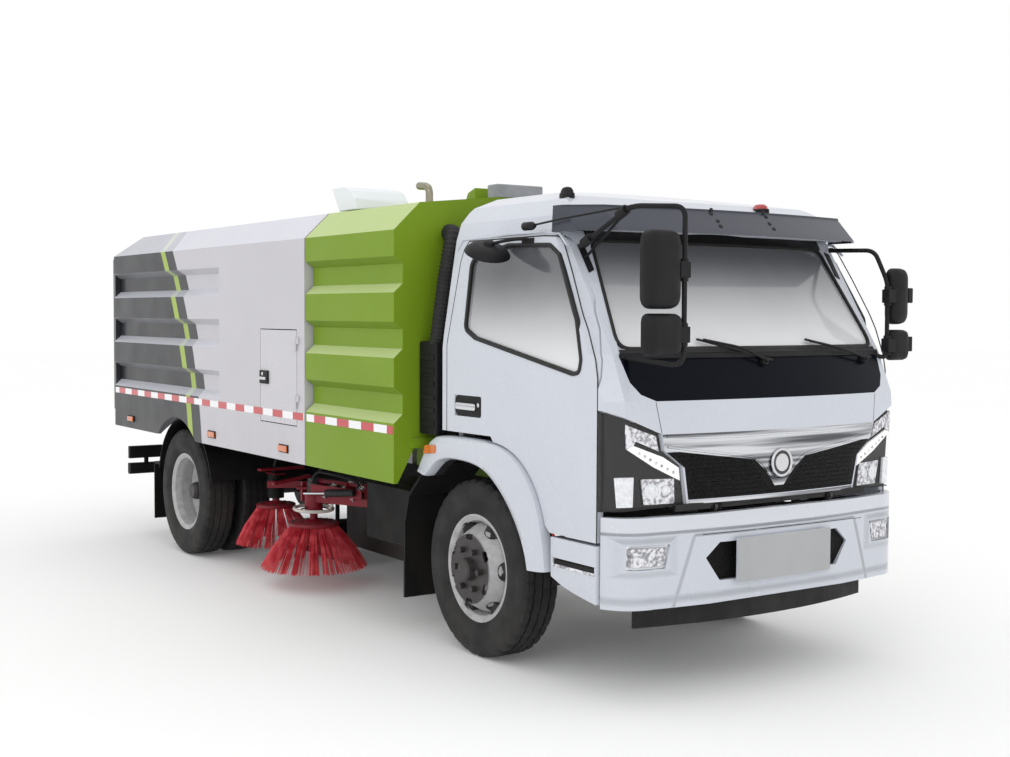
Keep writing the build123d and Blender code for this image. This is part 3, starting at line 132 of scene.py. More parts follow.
def cast(nodes, start, direction):
    """First point and normal of the nodes on a ray, or None."""
    point, normal, _, _ = tree(*nodes).ray_cast(start, direction)
    if point is None:
        return None
    return point, (normal if normal.dot(direction) < 0 else -normal)


def seen(nodes, px, py):
    """Where the camera sees the nodes at a point of the photograph, and the normal there."""
    found = cast(nodes, camera_place, pixel_ray(px, py))
    if found is None:
        raise ValueError(f"nothing of {nodes} at {px}, {py}")
    return found


def seen_twice(nodes, px, py):
    """The point and normal that the camera sees, and their mirror image."""
    point, normal = seen(nodes, px, py)
    return (point, normal), (flip(point), flip(normal))


# ------------------------------------------------------------------ materials
def linear(r, g, b):
    """Linear colour from the 0-255 values of a swatch."""
    def one(v):
        v /= 255
        return v / 12.92 if v <= 0.04045 else ((v + 0.055) / 1.055) ** 2.4
    return (one(r), one(g), one(b), 1.0)


def tinted(colour, factor):
    return tuple(min(1.0, c * factor) for c in colour[:3]) + (1.0,)


class Shader:
    """A material being put together: nodes by short calls, sockets by name."""

    def __init__(self, name):
        self.material = bpy.data.materials.new(name)
        self.material.use_nodes = True
        self.tree = self.material.node_tree
        self.tree.nodes.clear()
        out = self.tree.nodes.new("ShaderNodeOutputMaterial")
        self.main = self.tree.nodes.new("ShaderNodeBsdfPrincipled")
        self.tree.links.new(self.main.outputs[0], out.inputs[0])
        self.place = self.tree.nodes.new("ShaderNodeTexCoord").outputs["Object"]

    def feed(self, socket, value):
        if isinstance(value, bpy.types.NodeSocket):
            self.tree.links.new(value, socket)
        else:
            socket.default_value = value

    def add(self, kind, inputs, **settings):
        """A new node; inputs maps its sockets' names or numbers to values or sockets."""
        node = self.tree.nodes.new("ShaderNode" + kind)
        for name, value in settings.items():
            setattr(node, name, value)
        for key, value in inputs.items():
            self.feed(node.inputs[key], value)
        return node

    def set(self, **sockets):
        for name, value in sockets.items():
            self.feed(self.main.inputs[name.replace("_", " ")], value)

    def axis(self, letter):
        """x, y or z of the object's own space."""
        return self.add("SeparateXYZ", {0: self.place}).outputs["xyz".index(letter)]

    def rising(self):
        """How far the surface faces up (1) or down (-1)."""
        normal = self.add("NewGeometry", {}).outputs["Normal"]
        return self.add("SeparateXYZ", {0: normal}).outputs[2]

    def maths(self, operation, a, b=0.0, c=0.0, clamp=False):
        return self.add("Math", {0: a, 1: b, 2: c}, operation=operation, use_clamp=clamp).outputs[0]

    def reach(self, x, z):
        """Distance from the line across the truck at x and z."""
        run = self.maths("SUBTRACT", self.axis("x"), x)
        rise = self.maths("SUBTRACT", self.axis("z"), z)
        return self.maths("SQRT", self.maths("MULTIPLY_ADD", run, run, self.maths("MULTIPLY", rise, rise)))

    def scaled(self, x, y, z):
        return self.add("Mapping", {"Scale": (x, y, z), "Vector": self.place}).outputs[0]

    def noise(self, scale, detail=3.0, rough=0.5, vector=None):
        sockets = {"Scale": scale, "Detail": detail, "Roughness": rough, "Vector": vector or self.place}
        return self.add("TexNoise", sockets).outputs["Fac"]

    def cells(self, scale, feature="F1"):
        sockets = {"Scale": scale, "Vector": self.place}
        return self.add("TexVoronoi", sockets, feature=feature).outputs["Distance"]

    def spread(self, value, low, high, to_low=0.0, to_high=1.0, smooth=False):
        """Maps value from low..high to to_low..to_high, held at the ends."""
        numbers = dict(enumerate((value, low, high, to_low, to_high)))
        kind = "SMOOTHSTEP" if smooth else "LINEAR"
        return self.add("MapRange", numbers, interpolation_type=kind).outputs[0]

    def cloud(self, scale, detail, low=0.0, high=1.0):
        """Soft patches between two values."""
        return self.spread(self.noise(scale, detail), 0.3, 0.7, low, high)

    def blend(self, share, a, b):
        return self.add("Mix", {0: share, 6: a, 7: b}, data_type="RGBA").outputs[2]

    def relief(self, height, strength=0.3, distance=0.001):
        sockets = {"Height": height, "Strength": strength, "Distance": distance}
        self.set(Normal=self.add("Bump", sockets).outputs[0])


def worn(shader, colour, vary=0.05, scale=2.5, grime=0.0, grime_colour=None, grime_top=1.0):
    """Colour with broad soft variation, and road dust that thins out upwards."""
    if isinstance(colour, tuple):
        colour = shader.blend(shader.cloud(scale, 4), tinted(colour, 1 - vary), tinted(colour, 1 + vary))
    if not grime:
        return colour
    streaks = shader.noise(3.0, 5, 0.6, shader.scaled(2.0, 2.0, 0.5))
    height = shader.spread(shader.axis("z"), 0.1, grime_top, 1.0, 0.0, smooth=True)
    share = shader.maths("MULTIPLY", shader.spread(streaks, 0.35, 0.75), height)
    return shader.blend(shader.maths("MULTIPLY", share, grime), colour, grime_colour or linear(120, 112, 100))


def shaded_by_facing(shader, colour, painted_light, shade):
    """Colour with a painted highlight on faces turned up, and painted shade on faces turned down."""
    rise = shader.rising()
    sloping = shader.spread(rise, 0.25, 0.6, 0.0, 0.7)
    not_level = shader.spread(rise, 0.85, 0.97, 1.0, 0.35)
    # painted highlight on sloping faces turned up, weaker on level roofs
    colour = shader.blend(shader.maths("MULTIPLY", sloping, not_level), colour, painted_light)
    # painted shade on faces turned down
    return shader.blend(shader.spread(rise, -0.6, -0.25, 0.35, 0.0), colour, shade)


def sprayed(shader, colour, rough, coat, peel=0.02):
    """Finishes a shader as sprayed enamel: orange peel and a clear coat over the colour."""
    shader.set(Base_Color=colour, Roughness=shader.cloud(5, 4, rough - 0.05, rough + 0.07))
    shader.set(Coat_Weight=coat, Coat_Roughness=0.08)
    shader.relief(shader.noise(260, 2), peel, 0.0006)
    return shader.material


def paint(name, colour, rough=0.3, coat=0.4, vary=0.03, grime=0.12, grime_top=1.1, peel=0.02, painted_light=None,
          shine=0.5):
    """Enamel with a little road dust; painted_light holds the painted highlight and painted shade of faces
    turned up and down.
    """
    s = Shader(name)
    body = worn(s, colour, vary, 1.3, grime, grime_top=grime_top)
    s.set(Specular_IOR_Level=shine)
    return sprayed(s, shaded_by_facing(s, body, *painted_light) if painted_light else body, rough, coat, peel)


def wheel_paint(name, centre_x, dark_radius):
    """Pale rim enamel, and a dark dusty hub inside dark_radius of the axle's line."""
    s = Shader(name)
    inside = s.spread(s.reach(centre_x, tyre_radius), *span(dark_radius, 0.003), 1.0, 0.0)
    soot = s.spread(s.noise(22, 5, 0.65), 0.35, 0.75, 0.0, 0.55)
    pale = s.blend(soot, linear(186, 186, 188), linear(126, 122, 118))
    dark = s.blend(soot, linear(58, 54, 54), linear(34, 31, 31))
    s.set(Base_Color=s.blend(inside, pale, dark), Metallic=0.15, Roughness=s.cloud(14, 5, 0.35, 0.55))
    s.relief(s.noise(180, 4, 0.6), 0.12, 0.0006)
    return s.material


def lamp_reflector():
    """Bright faceted reflector seen through a clear lens, with painted reflection: light and dark mottling in
    its colour.
    """
    s = Shader("lamp_silver")
    pitch = 26.0
    # painted reflection: the mottled tone of the facets
    tone = s.spread(s.noise(pitch * 2.2, 1, 0.4), 0.38, 0.62)
    s.set(Base_Color=s.blend(tone, linear(150, 150, 156), linear(236, 236, 240)), Metallic=0.7, Roughness=0.2)
    s.relief(s.cells(pitch, "DISTANCE_TO_EDGE"), 0.6, 0.008)
    return s.material


def banded_chrome():
    """Chrome with painted reflection: the soft dark bands a curved bright surface shows, put in its colour.
    """
    s = Shader("trim_chrome")
    # painted reflection: dark bands stretched along the trim
    reflection_bands = s.noise(2.4, 2, 0.5, s.scaled(0.35, 0.35, 12.0))
    tone = s.spread(reflection_bands, 0.36, 0.64, smooth=True)
    s.set(Base_Color=s.blend(tone, linear(92, 93, 96), linear(214, 216, 220)), Metallic=1.0)
    s.set(Roughness=s.cloud(14, 3, 0.08, 0.2))
    s.relief(s.noise(160, 3), 0.03, 0.0005)
    return s.material


def metal(name, colour, rough=0.35, metallic=0.9, vary=0.12, scratch=0.2, grime=0.0):
    s = Shader(name)
    s.set(Base_Color=worn(s, colour, vary, 9, grime, linear(70, 60, 50)), Metallic=metallic)
    s.set(Roughness=s.cloud(14, 5, rough - 0.08, rough + 0.14))
    s.relief(s.noise(160, 5, 0.7), scratch, 0.0005)
    return s.material


def plastic(name, colour, rough=0.5, grain=0.25, grain_scale=900, coat=0.0, vary=0.12, grime=0.1,
            specular=0.5):
    s = Shader(name)
    s.set(Base_Color=worn(s, colour, vary, 7, grime, grime_top=1.3), Specular_IOR_Level=specular)
    s.set(Roughness=s.cloud(11, 4, rough - 0.06, rough + 0.1), Coat_Weight=coat, Coat_Roughness=0.06)
    s.relief(s.cells(grain_scale), grain, 0.0005)
    return s.material


def rubber(name, colour, rough=0.75):
    s = Shader(name)
    s.set(Base_Color=worn(s, colour, 0.2, 6, 0.25, linear(95, 90, 84), 0.9))
    s.set(Roughness=s.cloud(9, 5, rough - 0.1, rough + 0.12))
    s.relief(s.noise(320, 4, 0.6), 0.25, 0.0008)
    return s.material


CAB_WHITE, CREAM_WHITE = linear(200, 204, 213), linear(197, 195, 200)
CHARCOAL = linear(36, 38, 42)
LEAF_GREEN, STRIPE_GREEN = linear(120, 150, 30), linear(160, 184, 70)
# painted highlight and painted shade: tones for faces turned up and down, white and green
WHITE_PAINTED_HIGHLIGHT, WHITE_PAINTED_SHADE = linear(214, 216, 226), linear(176, 176, 182)
GREEN_PAINTED_HIGHLIGHT, GREEN_SHADE = linear(204, 220, 158), linear(88, 114, 22)
# the charcoal end's edge: its x at livery_z, and how it leans and bends back above that
livery_z, livery_foot, livery_lean, livery_bend = 0.9, -3.29, 0.114, 0.211
stripe_near, stripe_far = 0.165, 0.255


def hopper_livery():
    """White body with a charcoal rear end, its edge leaning back and a green line in it."""
    s = Shader("hopper_livery")
    rise = s.maths("SUBTRACT", s.axis("z"), livery_z)
    lean = s.maths("MULTIPLY_ADD", rise, livery_bend, livery_lean)
    edge = s.maths("SUBTRACT", axle_x + livery_foot, s.maths("MULTIPLY", rise, lean))
    ahead = s.maths("SUBTRACT", s.axis("x"), edge)
    soft = 0.002
    beyond = s.spread(ahead, *span(-stripe_far, soft))
    before = s.spread(ahead, *span(-stripe_near, soft), 1, 0)
    tone = s.cloud(1.3, 4)
    pale = s.blend(tone, tinted(CREAM_WHITE, 0.97), tinted(CREAM_WHITE, 1.02))
    dark = s.blend(tone, tinted(CHARCOAL, 0.85), tinted(CHARCOAL, 1.2))
    colour = s.blend(s.spread(ahead, -soft, soft), dark, pale)
    colour = s.blend(s.maths("MULTIPLY", beyond, before), colour, STRIPE_GREEN)
    # painted highlight on faces turned up and painted shade on faces turned down, over the livery and its
    # dust
    s.set(Base_Color=shaded_by_facing(s, worn(s, colour, grime=0.15, grime_top=1.5), WHITE_PAINTED_HIGHLIGHT, WHITE_PAINTED_SHADE))
    s.set(Roughness=s.cloud(4, 4, 0.3, 0.42), Coat_Weight=0.1, Coat_Roughness=0.15, Specular_IOR_Level=0.35)
    s.relief(s.noise(2.2, 2), 0.12, 0.006)
    return s.material


def cab_enamel():
    """White cab paint, black in the wheel housings, and black on the low tilt ears as painted shade in the
    gap above the bumper.
    """
    s = Shader("cab_enamel")
    aside = s.maths("ABSOLUTE", s.axis("y"))
    near_axle = s.maths("LESS_THAN", s.reach(axle_x, tyre_radius), 0.628)
    housing = s.maths("MULTIPLY", near_axle, s.maths("LESS_THAN", aside, 0.8965))
    # painted shade: the tilt ears sit in the dark gap over the bumper
    shaded_ears = s.maths("MULTIPLY", s.maths("LESS_THAN", s.axis("z"), 0.93), s.maths("LESS_THAN", aside, 0.55))
    white = worn(s, CAB_WHITE, 0.03, 1.3, 0.1, grime_top=1.1)
    return sprayed(s, s.blend(s.maths("MAXIMUM", housing, shaded_ears), white, linear(20, 20, 21)), 0.27, 0.35)


def bumper_enamel():
    """White bumper paint; the moulded lip, middle and lamp pockets stand out as relief, and the lip is
    painted paler as a painted highlight.
    """
    s = Shader("bumper_enamel")
    aside, z = s.maths("ABSOLUTE", s.axis("y")), s.axis("z")
    pocket_y, pocket_z = 0.79, 0.696
    lip = s.spread(z, 0.795, 0.815, smooth=True)
    slant = s.maths("MULTIPLY_ADD", z, 0.35, aside)
    inside_slant = s.spread(slant, 0.80, 0.83, 1.0, 0.0, True)
    middle = s.maths("MULTIPLY", inside_slant, s.spread(z, 0.775, 0.795, 1.0, 0.0, True))
    beside = s.maths("ABSOLUTE", s.maths("SUBTRACT", aside, pocket_y))
    above = s.maths("ABSOLUTE", s.maths("SUBTRACT", z, pocket_z))
    wide, tall = s.spread(beside, 0.10, 0.17, smooth=True), s.spread(above, 0.055, 0.10, smooth=True)
    pocket = s.maths("MAXIMUM", wide, tall)
    foot = s.spread(z, 0.47, 0.52, smooth=True)
    form = s.maths("ADD", s.maths("ADD", lip, middle), s.maths("ADD", pocket, foot))
    white = worn(s, CAB_WHITE, 0.02, 1.3, 0.06, grime_top=0.7)
    # painted highlight: the lip's colour is paler
    s.set(Base_Color=s.blend(s.spread(lip, 0, 1, 0, 0.35), white, linear(222, 224, 230)))
    s.set(Roughness=s.cloud(5, 4, 0.2, 0.3), Coat_Weight=0.4, Coat_Roughness=0.06)
    s.relief(form, 1.0, 0.026)
    return s.material


def window_glass(name, low, high, dark):
    """Painted reflection and painted shade on the glass: dark at the top, paling to the sill."""
    s = Shader(name)
    height = s.spread(s.axis("z"), low, high, smooth=True)
    cloud = s.spread(s.noise(1.6, 3), 0.2, 0.8, -0.06, 0.06)
    share = s.maths("ADD", height, cloud, clamp=True)
    # painted reflection and shade: the colour darkens with height
    s.set(Base_Color=s.blend(share, linear(232, 233, 235), dark))
    s.set(Roughness=0.12, Coat_Weight=0.5, Coat_Roughness=0.02, Alpha=0.94)
    s.relief(s.noise(2.0, 1), 0.03, 0.002)
    return s.material


def lamp_cover():
    """Clear outer lens of the headlights."""
    s = Shader("lamp_lens")
    s.set(Base_Color=worn(s, (1, 1, 1, 1), 0.02, 12), Roughness=0.06, Alpha=0.03)
    s.set(Coat_Weight=1.0, Coat_Roughness=0.03)
    s.relief(s.noise(90, 2), 0.05, 0.0006)
    return s.material


def lamp_glass(name, colour, rough=0.15, pitch=0.012, glow=0.0):
    """Coloured lens with moulded prisms."""
    s = Shader(name)
    prisms = [s.maths("PINGPONG", s.axis(letter), pitch / 2) for letter in "xz"]
    s.set(Base_Color=worn(s, colour, 0.12, 40), Roughness=rough, Coat_Weight=1.0)
    if glow:
        s.set(Emission_Color=colour, Emission_Strength=glow)
    s.relief(s.maths("ADD", *prisms), 0.6, 0.6)
    return s.material


def reflective_tape():
    """Red and white micro-prism film, alternating along the truck."""
    s = Shader("reflective_tape")
    block, offset = 0.15, 0.024
    along = s.maths("ADD", s.axis("x"), 40 * block - axle_x - offset)
    red = s.maths("LESS_THAN", s.maths("FRACT", s.maths("DIVIDE", along, 2 * block)), 0.5)
    comb = s.cells(160)
    tone = s.spread(comb, 0.1, 0.6, 0.85, 1.0)
    white_tone = s.blend(tone, linear(186, 186, 190), linear(244, 244, 246))
    red_tone = s.blend(tone, linear(150, 20, 34), linear(196, 32, 46))
    s.set(Base_Color=s.blend(red, white_tone, red_tone), Roughness=0.25, Coat_Weight=0.6)
    s.relief(comb, 0.15, 0.0008)
    return s.material


def bristle_material():
    """Red poly bristles, uneven in tone and paler with dust at the tips."""
    s = Shader("bristle_red")
    strand = s.noise(420, 2)
    base = s.blend(s.spread(strand, 0.3, 0.7), linear(150, 12, 36), linear(214, 46, 62))
    base = s.blend(s.spread(s.noise(16, 2), 0.42, 0.62, 0.0, 0.75), base, linear(226, 92, 98))
    tip = s.spread(s.axis("z"), 0.13, 0.30, 0.35, 0.0, smooth=True)
    s.set(Base_Color=s.blend(tip, base, linear(214, 84, 86)), Roughness=0.5)
    s.set(Sheen_Weight=0.05, Specular_IOR_Level=0.25)
    s.relief(strand, 0.3, 0.001)
    return s.material


def mesh_grille():
    """Black moulded mesh, its openings painted darker as painted shade."""
    s = Shader("grille_black")
    comb = s.cells(75, "DISTANCE_TO_EDGE")
    # painted shade: the middles of the cells are darker than the web
    s.set(Base_Color=s.blend(s.spread(comb, 0.02, 0.1), linear(13, 13, 14), linear(4, 4, 5)))
    s.set(Roughness=0.5, Specular_IOR_Level=0.2)
    s.relief(s.spread(comb, 0.0, 0.25, 1, 0), 0.8, 0.004)
    return s.material


def seat_cloth():
    s = Shader("seat_cloth")
    s.set(Base_Color=worn(s, linear(62, 64, 70), 0.2, 14), Roughness=0.9, Sheen_Weight=0.4)
    s.relief(s.noise(700, 2), 0.4, 0.001)
    return s.material


def tinted_visor():
    s = Shader("visor_plastic")
    s.set(Base_Color=worn(s, linear(44, 48, 62), 0.08, 3), Roughness=0.35, Coat_Weight=0.15)
    s.relief(s.noise(300, 2), 0.04, 0.0006)
    return s.material


MATERIALS = {
    "cab_enamel": cab_enamel(),
    "bumper_enamel": bumper_enamel(),
    "livery": hopper_livery(),
    "tailgate": paint("tailgate_paint", CHARCOAL, vary=0.15, grime=0.3),
    "front_rim": wheel_paint("front_rim_paint", axle_x, 0.183),
    "rear_rim": wheel_paint("rear_rim_paint", axle_x - wheelbase, 0.120),
    "trim_chrome": banded_chrome(),
    "visor_plastic": tinted_visor(),
    "lamp_clear": lamp_cover(),
    "lamp_silver": lamp_reflector(),
    "tyre": rubber("tyre_rubber", linear(20, 20, 21)),
    "glass": window_glass("window_glass", 1.56, 2.16, linear(112, 114, 118)),
    "door_glass": window_glass("door_window_glass", 1.50, 2.06, linear(90, 92, 96)),
    "seat_fabric": seat_cloth(),
    "bristle_red": bristle_material(),
    "mesh": mesh_grille(),
    "tape": reflective_tape(),
}
# painted highlight and painted shade of the green paint, by which way a face turns
GREEN_LIGHT_AND_SHADE = (GREEN_PAINTED_HIGHLIGHT, GREEN_SHADE)
PLAIN_LOOKS = {  # maker, colour and settings of the materials that go by their own name
    "white_paint": (paint, CAB_WHITE, dict(rough=0.27, coat=0.35, grime=0.1)),
    # green paint with painted highlight on faces up and painted shade on faces down
    "green_paint": (paint, LEAF_GREEN, dict(rough=0.42, coat=0.0, vary=0.05, grime=0.08, peel=0.03,
                                            painted_light=GREEN_LIGHT_AND_SHADE, shine=0.22)),
    "black_paint": (paint, linear(13, 13, 14), dict(rough=0.6, coat=0.0, grime=0.08, shine=0.2)),
    "red_paint": (paint, linear(128, 14, 34), dict(rough=0.45, coat=0.1, grime=0.2, shine=0.3)),
    "cream_paint": (paint, CREAM_WHITE, dict(coat=0.35, grime=0.22, grime_top=1.5)),
    # painted light: a paler copy of the white paint that lifts the shade on the hood's sides
    "hood_white": (paint, linear(226, 230, 233), dict(rough=0.4, coat=0.0, grime=0.05, shine=0.3)),
    "grey_metal": (metal, linear(150, 152, 155), dict(rough=0.4, grime=0.3)),
    "cast_grey": (metal, linear(84, 84, 84), dict(rough=0.6, metallic=0.5, grime=0.4)),
    "rod_chrome": (metal, linear(215, 215, 218), dict(rough=0.16, metallic=1.0, vary=0.03, scratch=0.05)),
    "bright_steel": (metal, linear(150, 146, 128), dict(rough=0.2, metallic=1.0, vary=0.1, scratch=0.05)),
    "mirror_glass": (metal, linear(230, 233, 238), dict(rough=0.05, metallic=1.0, vary=0.02, scratch=0.0)),
    "black_plastic": (plastic, linear(17, 17, 20), dict(rough=0.55, specular=0.3)),
    "cowl_plastic": (plastic, linear(8, 11, 21), dict(rough=0.22, grain=0.01, grain_scale=400, grime=0.0,
                                                      specular=0.08)),
    "lamp_bowl": (plastic, linear(16, 16, 19), dict(rough=0.35, grain=0.03, grain_scale=500, coat=0.2,
                                                    grime=0.0, specular=0.2)),
    "plate_grey": (plastic, linear(168, 170, 172), dict(rough=0.4, grain=0.02, grain_scale=300, coat=0.2,
                                                        vary=0.03, grime=0.05)),
    "hose_white": (plastic, linear(214, 206, 200), dict(rough=0.45, grain=0.05, grain_scale=300, coat=0.1,
                                                        vary=0.06, grime=0.2)),
    "dash_plastic": (plastic, linear(48, 49, 52), dict(rough=0.6, grain=0.4, grain_scale=700, grime=0.0)),
    "lamp_amber": (lamp_glass, linear(224, 112, 30), {}),
    "lamp_red": (lamp_glass, linear(176, 20, 22), {}),
    "lamp_white": (lamp_glass, linear(236, 238, 242), dict(rough=0.12, pitch=0.009)),
    "led_white": (lamp_glass, linear(250, 250, 252), dict(rough=0.2, pitch=0.006, glow=0.15)),
    "rubber_black": (rubber, linear(22, 22, 23), dict(rough=0.6)),
}
for look_name, (maker, look_colour, settings) in PLAIN_LOOKS.items():
    MATERIALS[look_name] = maker(look_name, look_colour, **settings)

# ------------------------------------------------------------------ what each CAD node is made of
NODE_MATERIALS = {
    "cab_enamel": "cab_shell",
    "white_paint": "door_left door_right front_fenders step_panels roof_hood",
    "bumper_enamel": "front_bumper",
    "cream_paint": "side_hatch",
    "green_paint": "compartment",
    "livery": "hopper_shell",
    "tailgate": "tailgate",
    "black_paint": "frame_rails mudguards rear_underrun broom_hangers suction_nozzle battery_box",
    "red_paint": "broom_arm_left broom_arm_right",
    "front_rim": "front_rim_left front_rim_right",
    "rear_rim": "rear_rims_left rear_rims_right",
    "cast_grey": "front_axle_beam rear_axle leaf_springs engines knuckle_left knuckle_right tip_barrel",
    "grey_metal": "drive_shaft fuel_tank",
    "bright_steel": "exhaust_elbow",
    "rod_chrome": "tip_rod",
    "trim_chrome": "chrome_trim",
    "mesh": "grille",
    "black_plastic": "mirrors intake_stack bumper_valance",
    "cowl_plastic": "cowl_panel",
    "visor_plastic": "sun_visor",
    "lamp_clear": "headlights",
    "lamp_silver": "fog_lamps",
    "tyre": "front_tyre_left front_tyre_right rear_tyres_left rear_tyres_right",
    "glass": "cab_glass",
    "door_glass": "door_glass_left door_glass_right",
    "seat_fabric": "seats",
    "dash_plastic": "dashboard steering_wheel",
    "bristle_red": "broom_front_left broom_front_right broom_rear_left broom_rear_right",
}
for material_name, node_names in NODE_MATERIALS.items():
    for node_name in node_names.split():
        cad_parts[node_name].data.materials.clear()
        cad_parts[node_name].data.materials.append(MATERIALS[material_name])


# ------------------------------------------------------------------ making pieces
def unit_circle(axis, count):
    """Unit spokes all round an axis."""
    axis = axis.normalized()
    u = axis.orthogonal().normalized()
    return spokes_between(u, axis.cross(u), count)


def spokes_between(u, v, count):
    """Unit spokes all round, starting at u and turning towards v."""
    angles = [2 * math.pi * k / count for k in range(count)]
    return [u * math.cos(a) + v * math.sin(a) for a in angles]


class Forms:
    """Points and faces of several solids that make one piece."""

    def __init__(self):
        self.points, self.faces = [], []

    def loops(self, rings, closed=True, capped=True, wrapped=False):
        """Joins rings of points, one after another, and the last to the first if wrapped."""
        start, count = len(self.points), len(rings[0])
        for ring in rings:
            self.points += [Vector(p) for p in ring]
        for k in range(len(rings) if wrapped else len(rings) - 1):
            here, there = start + k * count, start + (k + 1) % len(rings) * count
            for i in range(count if closed else count - 1):
                j = (i + 1) % count
                self.faces.append((here + i, here + j, there + j, there + i))
        if capped and not wrapped:
            last = start + (len(rings) - 1) * count
            self.faces.append(tuple(start + i for i in range(count))[::-1])
            self.faces.append(tuple(last + i for i in range(count)))
        return self

    def block(self, x, y, z, side=1):
        """A block from its low and high x, y and z; side -1 puts it on the other side."""
        near, far = sorted((side * y[0], side * y[1]))
        foot = ((x[0], near), (x[1], near), (x[1], far), (x[0], far))
        return self.loops([[at(px, py, pz) for px, py in foot] for pz in z])

    def through(self, outline, *places):
        """An outline of (x, z) pairs carried from one y to the next."""
        return self.loops([[at(x, y, z) for x, z in outline] for y in places])

    def turned(self, centre, axis, profile, count=24):
        """Turns (distance along axis, radius) pairs about an axis."""
        centre, axis = Vector(centre), Vector(axis).normalized()
        spokes = unit_circle(axis, count)
        rings = []
        for along, radius in profile:
            rings.append([centre + axis * along + spoke * radius for spoke in spokes])
        return self.loops(rings)

    def torus(self, centre, axis, radius, tube, count=32, around=10):
        axis = Vector(axis).normalized()
        rings = []
        for spoke in unit_circle(axis, count):
            middle = Vector(centre) + spoke * radius
            rings.append([middle + edge * tube for edge in spokes_between(spoke, axis, around)])
        return self.loops(rings, wrapped=True)

    def beam(self, start, end, wide, tall):
        """A flat bar between two points, wide across and tall in z."""
        aside = (end - start).cross(up).normalized() * (wide / 2)
        rise = up * (tall / 2)
        corners = (-aside - rise, aside - rise, aside + rise, rise - aside)
        return self.loops([[spot + corner for corner in corners] for spot in (start, end)])

    def done(self, name, material, body, round_off=0.0, smooth=False):
        """Makes the piece, which rides on a body; round_off is how far its edges are rounded."""
        mesh = bpy.data.meshes.new(name)
        mesh.from_pydata([tuple(p) for p in self.points], [], self.faces)
        mesh.update()
        work = bmesh.new()
        work.from_mesh(mesh)
        bmesh.ops.recalc_face_normals(work, faces=work.faces)
        work.to_mesh(mesh)
        work.free()
        obj = linked(name, mesh)
        mesh.materials.append(MATERIALS[material])
        if smooth:
            mesh.shade_smooth()
            mesh.set_sharp_from_angle(angle=math.radians(38))
        if round_off:
            mod = obj.modifiers.new("edges", "BEVEL")
            mod.width, mod.segments = round_off, 2
            mod.limit_method = "ANGLE"
            mod.angle_limit = math.radians(40)
        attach(obj, body)
        return obj


def tube(name, points, radius, material, body, smooth=True):
    """A round bar or pipe along points, bent smoothly between them."""
    curve = bpy.data.curves.new(name, "CURVE")
    curve.dimensions = "3D"
    curve.bevel_depth, curve.bevel_resolution, curve.resolution_u = radius, 3, 6
    curve.use_fill_caps = True
    line = curve.splines.new("NURBS" if smooth else "POLY")
    line.points.add(len(points) - 1)
    for spot, point in zip(line.points, points):
        spot.co = (*point, 1)
    if smooth:
        line.order_u, line.use_endpoint_u = 3, True
    obj = linked(name, curve)
    curve.materials.append(MATERIALS[material])
    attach(obj, body)
    return obj


def arc(start, corner, end, steps):
    """Points of a soft bend from start to end, drawn towards the corner."""
    shares = [j / steps for j in range(steps + 1)]
    return [start * (1 - t) ** 2 + corner * 2 * t * (1 - t) + end * t**2 for t in shares]


def rounded(points, radius, steps=5):
    """A closed outline with its corners turned into arcs."""
    made = []
    for k, corner in enumerate(points):
        corner = Vector(corner)
        before, after = Vector(points[k - 1]) - corner, Vector(points[(k + 1) % len(points)]) - corner
        angle = before.angle(after)
        if angle > math.radians(168):
            made.append(corner)
            continue
        cut = min(radius / math.tan(angle / 2), before.length * 0.45, after.length * 0.45)
        made += arc(corner + before.normalized() * cut, corner, corner + after.normalized() * cut, steps)
    return made


def bent(points, reach, steps=6):
    """A line in space with its corners turned into arcs."""
    line = [Vector(p) for p in points]
    made = [line[0]]
    for before, corner, after in zip(line, line[1:], line[2:]):
        ends = []
        for leg in (before - corner, after - corner):
            ends.append(corner + leg.normalized() * min(reach, leg.length * 0.45))
        made += arc(ends[0], corner, ends[1], steps)
    return made + [line[-1]]


def divided(points, step, closed=True):
    """The same outline with points no further apart than step."""
    line = [Vector(p) for p in points]
    made = []
    for a, b in zip(line, line[1:] + line[:1] if closed else line[1:]):
        parts = max(1, math.ceil((b - a).length / step))
        made += [a.lerp(b, k / parts) for k in range(parts)]
    return made if closed else made + [line[-1]]


def eased(points, rounds=2):
    """The line with its corners cut, ends kept."""
    line = [Vector(p) for p in points]
    for _ in range(rounds):
        cut = [line[0]]
        for a, b in zip(line, line[1:]):
            cut += [a.lerp(b, 0.25), a.lerp(b, 0.75)]
        line = cut + [line[-1]]
    return line


def resampled(line, count=0, step=0.0):
    """Points at even spacing along an open line: count of them, or about a step apart."""
    marks = [0.0]
    for a, b in zip(line, line[1:]):
        marks.append(marks[-1] + (b - a).length)
    legs = max(2, round(marks[-1] / step)) if step else count - 1
    made, leg = [], 0
    for k in range(legs + 1):
        goal = marks[-1] * k / legs
        while leg < len(line) - 2 and marks[leg + 1] < goal:
            leg += 1
        share = (goal - marks[leg]) / (marks[leg + 1] - marks[leg])
        made.append(line[leg].lerp(line[leg + 1], min(1.0, share)))
    return made


